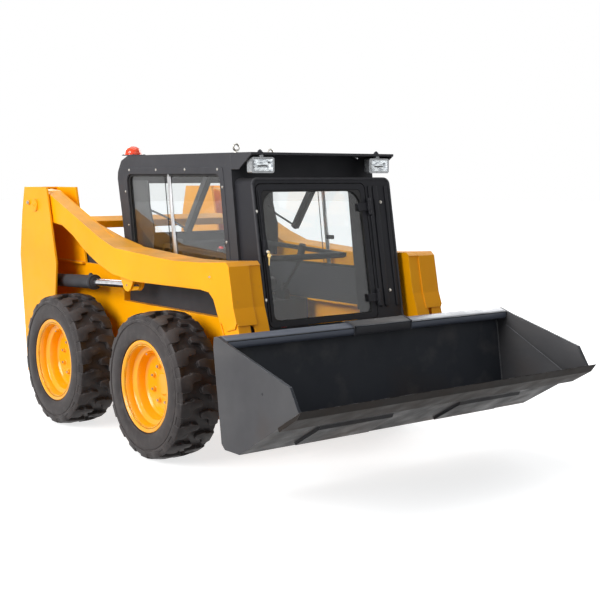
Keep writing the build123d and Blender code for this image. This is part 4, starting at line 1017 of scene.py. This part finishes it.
for name, place in wheel_places():
    tyre = made(f"lugged_tyre_{name}", rubber, (merged, master_tyre, place, True), body=f"wheel_{name}")
    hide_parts(f"tyre_{name}")
master_tyre.free()
lug.free()

# ---- Wheel rims: a rolled barrel with a deep dish, a disc and eight nuts ----
# Pressed steel welded at the disc and sprayed the machine's yellow, glossier than the frame. The valve stands in
# the dish, and the hub's cap lies nearly flush with the disc.
rim_yellow = coat("rim_yellow", (0.98, 0.42, 0.001), (0.93, 0.35, 0.001), (0.42, 0.25, 0.1),
                  (0.13, 0.3), (1.0, 0.6, 0.08), 0.5, 0.2, 0.1, 0.45)
disc_x = half_rim - 0.12
flange, seat_r, bore = rim_radius, rim_radius - 0.028, 0.0315
# The rim's section as (along, radius): from the hub's cap over the dish, the outer flange, back along the inside
rim_section = [(disc_x + x, r) for x, r in (
    (0.006, 0), (0.006, 0.054), (0.002, 0.060), (0, 0.062), (0, 0.150), (0.003, 0.163), (0.012, 0.172),
    (0.052, 0.1795), (0.058, 0.183), (0.061, 0.19), (0.064, 0.2), (0.070, 0.2065), (0.104, 0.2115),
    (0.111, 0.2165))]
rim_section += [(half_rim - x, r) for x, r in ((0.004, 0.2275), (0, 0.2325), (0, flange - 0.003), (0.003, flange),
                                               (0.007, flange), (0.0075, seat_r))]
rim_section += [(x - half_rim, r) for x, r in ((0.0075, seat_r), (0.007, flange), (0.002, flange),
                                               (0, flange - 0.004), (0, 0.214), (0.012, 0.206))]
rim_section += [(disc_x - 0.01, 0.204), (disc_x - 0.012, 0.066), (-0.06, 0.062), (-0.06, bore),
                (disc_x - 0.002, bore), (disc_x - 0.002, 0)]
master_rim, bare_studs = bmesh.new(), bmesh.new()
turned(master_rim, rim_section, 96, closed=False)
for y, z in spaced(8, 0.098):
    stack(master_rim, (disc_x, y, z), (1, 0, 0), (0, 0.0185, 0.003, 24, 0.93),
          (0.003, 0.0145, 0.011, 6, 0.94, 0.001))
    stack(bare_studs, (disc_x, y, z), (1, 0, 0), (0.0135, 0.0075, 0.007, 16, 0.9))
rod_along(master_rim, [(disc_x + 0.055, 0, 0.1775), (disc_x + 0.075, 0, 0.172), (disc_x + 0.098, 0, 0.170)], 0.005)
drum(bare_studs, (disc_x + 0.096, 0, 0.1702), (1, 0, -0.08), 0.0042, 0.007, 12, 0.9)
for name, place in wheel_places():
    rim = made(f"dished_rim_{name}", rim_yellow, (merged, master_rim, place, True), body=f"wheel_{name}")
    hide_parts(f"rim_{name}")
    made(f"wheel_studs_{name}", bright_zinc, (merged, bare_studs, place, True), body=f"wheel_{name}")
master_rim.free()
bare_studs.free()

# ---- Behind the cab: the engine, the hood's screws, the rear door's latch, the radiator and the tail lamps ----
# The engine is a cast block seen only from below. The door shuts on a paddle latch, behind it the grille's slots
# show the radiator's fins, and each tail lamp is a ribbed red lens in a black case.
cast_iron = surface("cast_iron", ((0.05, 0.05, 0.052), (0.1, 0.08, 0.06)), (9, 0.35, 0.7, 8),
                    (0.5, 0.8), (30, 0.3, 0.7), (160, 0.0008, 0.6, 0.004))
lamp_red = surface("lens_red", ((0.6, 0.012, 0.008), (0.45, 0.006, 0.005)), (20, 0.3, 0.7),
                   (0.08, 0.2), (50, 0.3, 0.7), (260, 0.0003, 0.3), {"Specular IOR Level": 0.25})
dress(cast_iron, "engine_block")
dress(lamp_red, "tail_lamps")

bm = bmesh.new()
for y in (1.02, 1.3, 1.61):
    for x in (-0.455, 0.455):
        bolt(bm, spot(x, y, 1.0153 + (y - 0.93) * 0.0171), (0, 0, 1), 0.015)
for x in (-0.42, -0.17, 0.17, 0.42):
    bolt(bm, spot(x, 1.822, 0.3348), (0, 0, 1), 0.016)
finished("hood_bolts", bm, bright_zinc)

latch_x, door_out = -0.437, 1.798
made("rear_latch", shadow_black, (block, (0.062, 0.006, 0.118), spot(latch_x, door_out + 0.002, 0.640), 0.002, 3),
     (block, (0.040, 0.014, 0.062), spot(latch_x, door_out + 0.009, 0.652), 0.005, 3), body="engine_door")
made("rear_door_screws", bright_zinc,
     (drum, spot(latch_x, door_out + 0.0045, 0.601), (0, 1, 0), 0.010, 0.006, 28, 0.95, 0.001),
     *[(drum, spot(0.452, door_out - 0.0002, z + lift), (0, 1, 0), 0.007, 0.004, 18, 0.6, 0.0008)
       for z in (0.43, 0.64, 0.86) for lift in (-0.016, 0.016)], body="engine_door")

# The radiator stands behind the grille on brackets from the tub's sides: a finned core between two header tanks.
core_y, core_z = 1.71, 0.655
bm = bmesh.new()
for n in range(91):
    block(bm, (0.0016, 0.040, 0.40), spot(-0.36 + n * 0.008, core_y, core_z))
for n in range(13):
    rod_along(bm, [spot(x, core_y, 0.475 + n * 0.03) for x in (-0.365, 0.365)], 0.0045, 6)
for z in (0.880, 0.430):
    block(bm, (0.80, 0.066, 0.055), spot(0, core_y, z), 0.006)
for hand in (-1, 1):
    block(bm, (0.03, 0.060, 0.46), spot(hand * 0.385, core_y, core_z), 0.006)
    for z in (0.80, 0.50):
        block(bm, (0.125, 0.03, 0.03), spot(hand * 0.448, core_y, z), 0.006)
finished("radiator", bm, cast_iron)

tower_slope = 0.0903
lamp_out = Vector((0, 1, -tower_slope)).normalized()
lamp_up = Vector((0, tower_slope, 1)).normalized()
case_bm, rib_bm = bmesh.new(), bmesh.new()
for hand in (1, -1):
    back_face = plane(spot(hand * 0.615, 1.8043, 0.845), (-1, 0, 0), lamp_up, lamp_out)
    ring_plate(case_bm, rounded(box_corners((-0.048, 0.048), (-0.063, 0.063)), 0.010),
               rounded(box_corners((-0.0402, 0.0402), (-0.0552, 0.0552)), 0.004), back_face, 0.0165, 0.002)
    for n in range(7):
        rod_along(rib_bm, [back_face @ Vector((-0.030 + n * 0.010, up, 0.0204)) for up in (-0.048, 0.048)],
                  0.0022, 8)
finished("tail_lamp_cases", case_bm, black_rubber)
finished("tail_lamp_ribs", rib_bm, lamp_red)
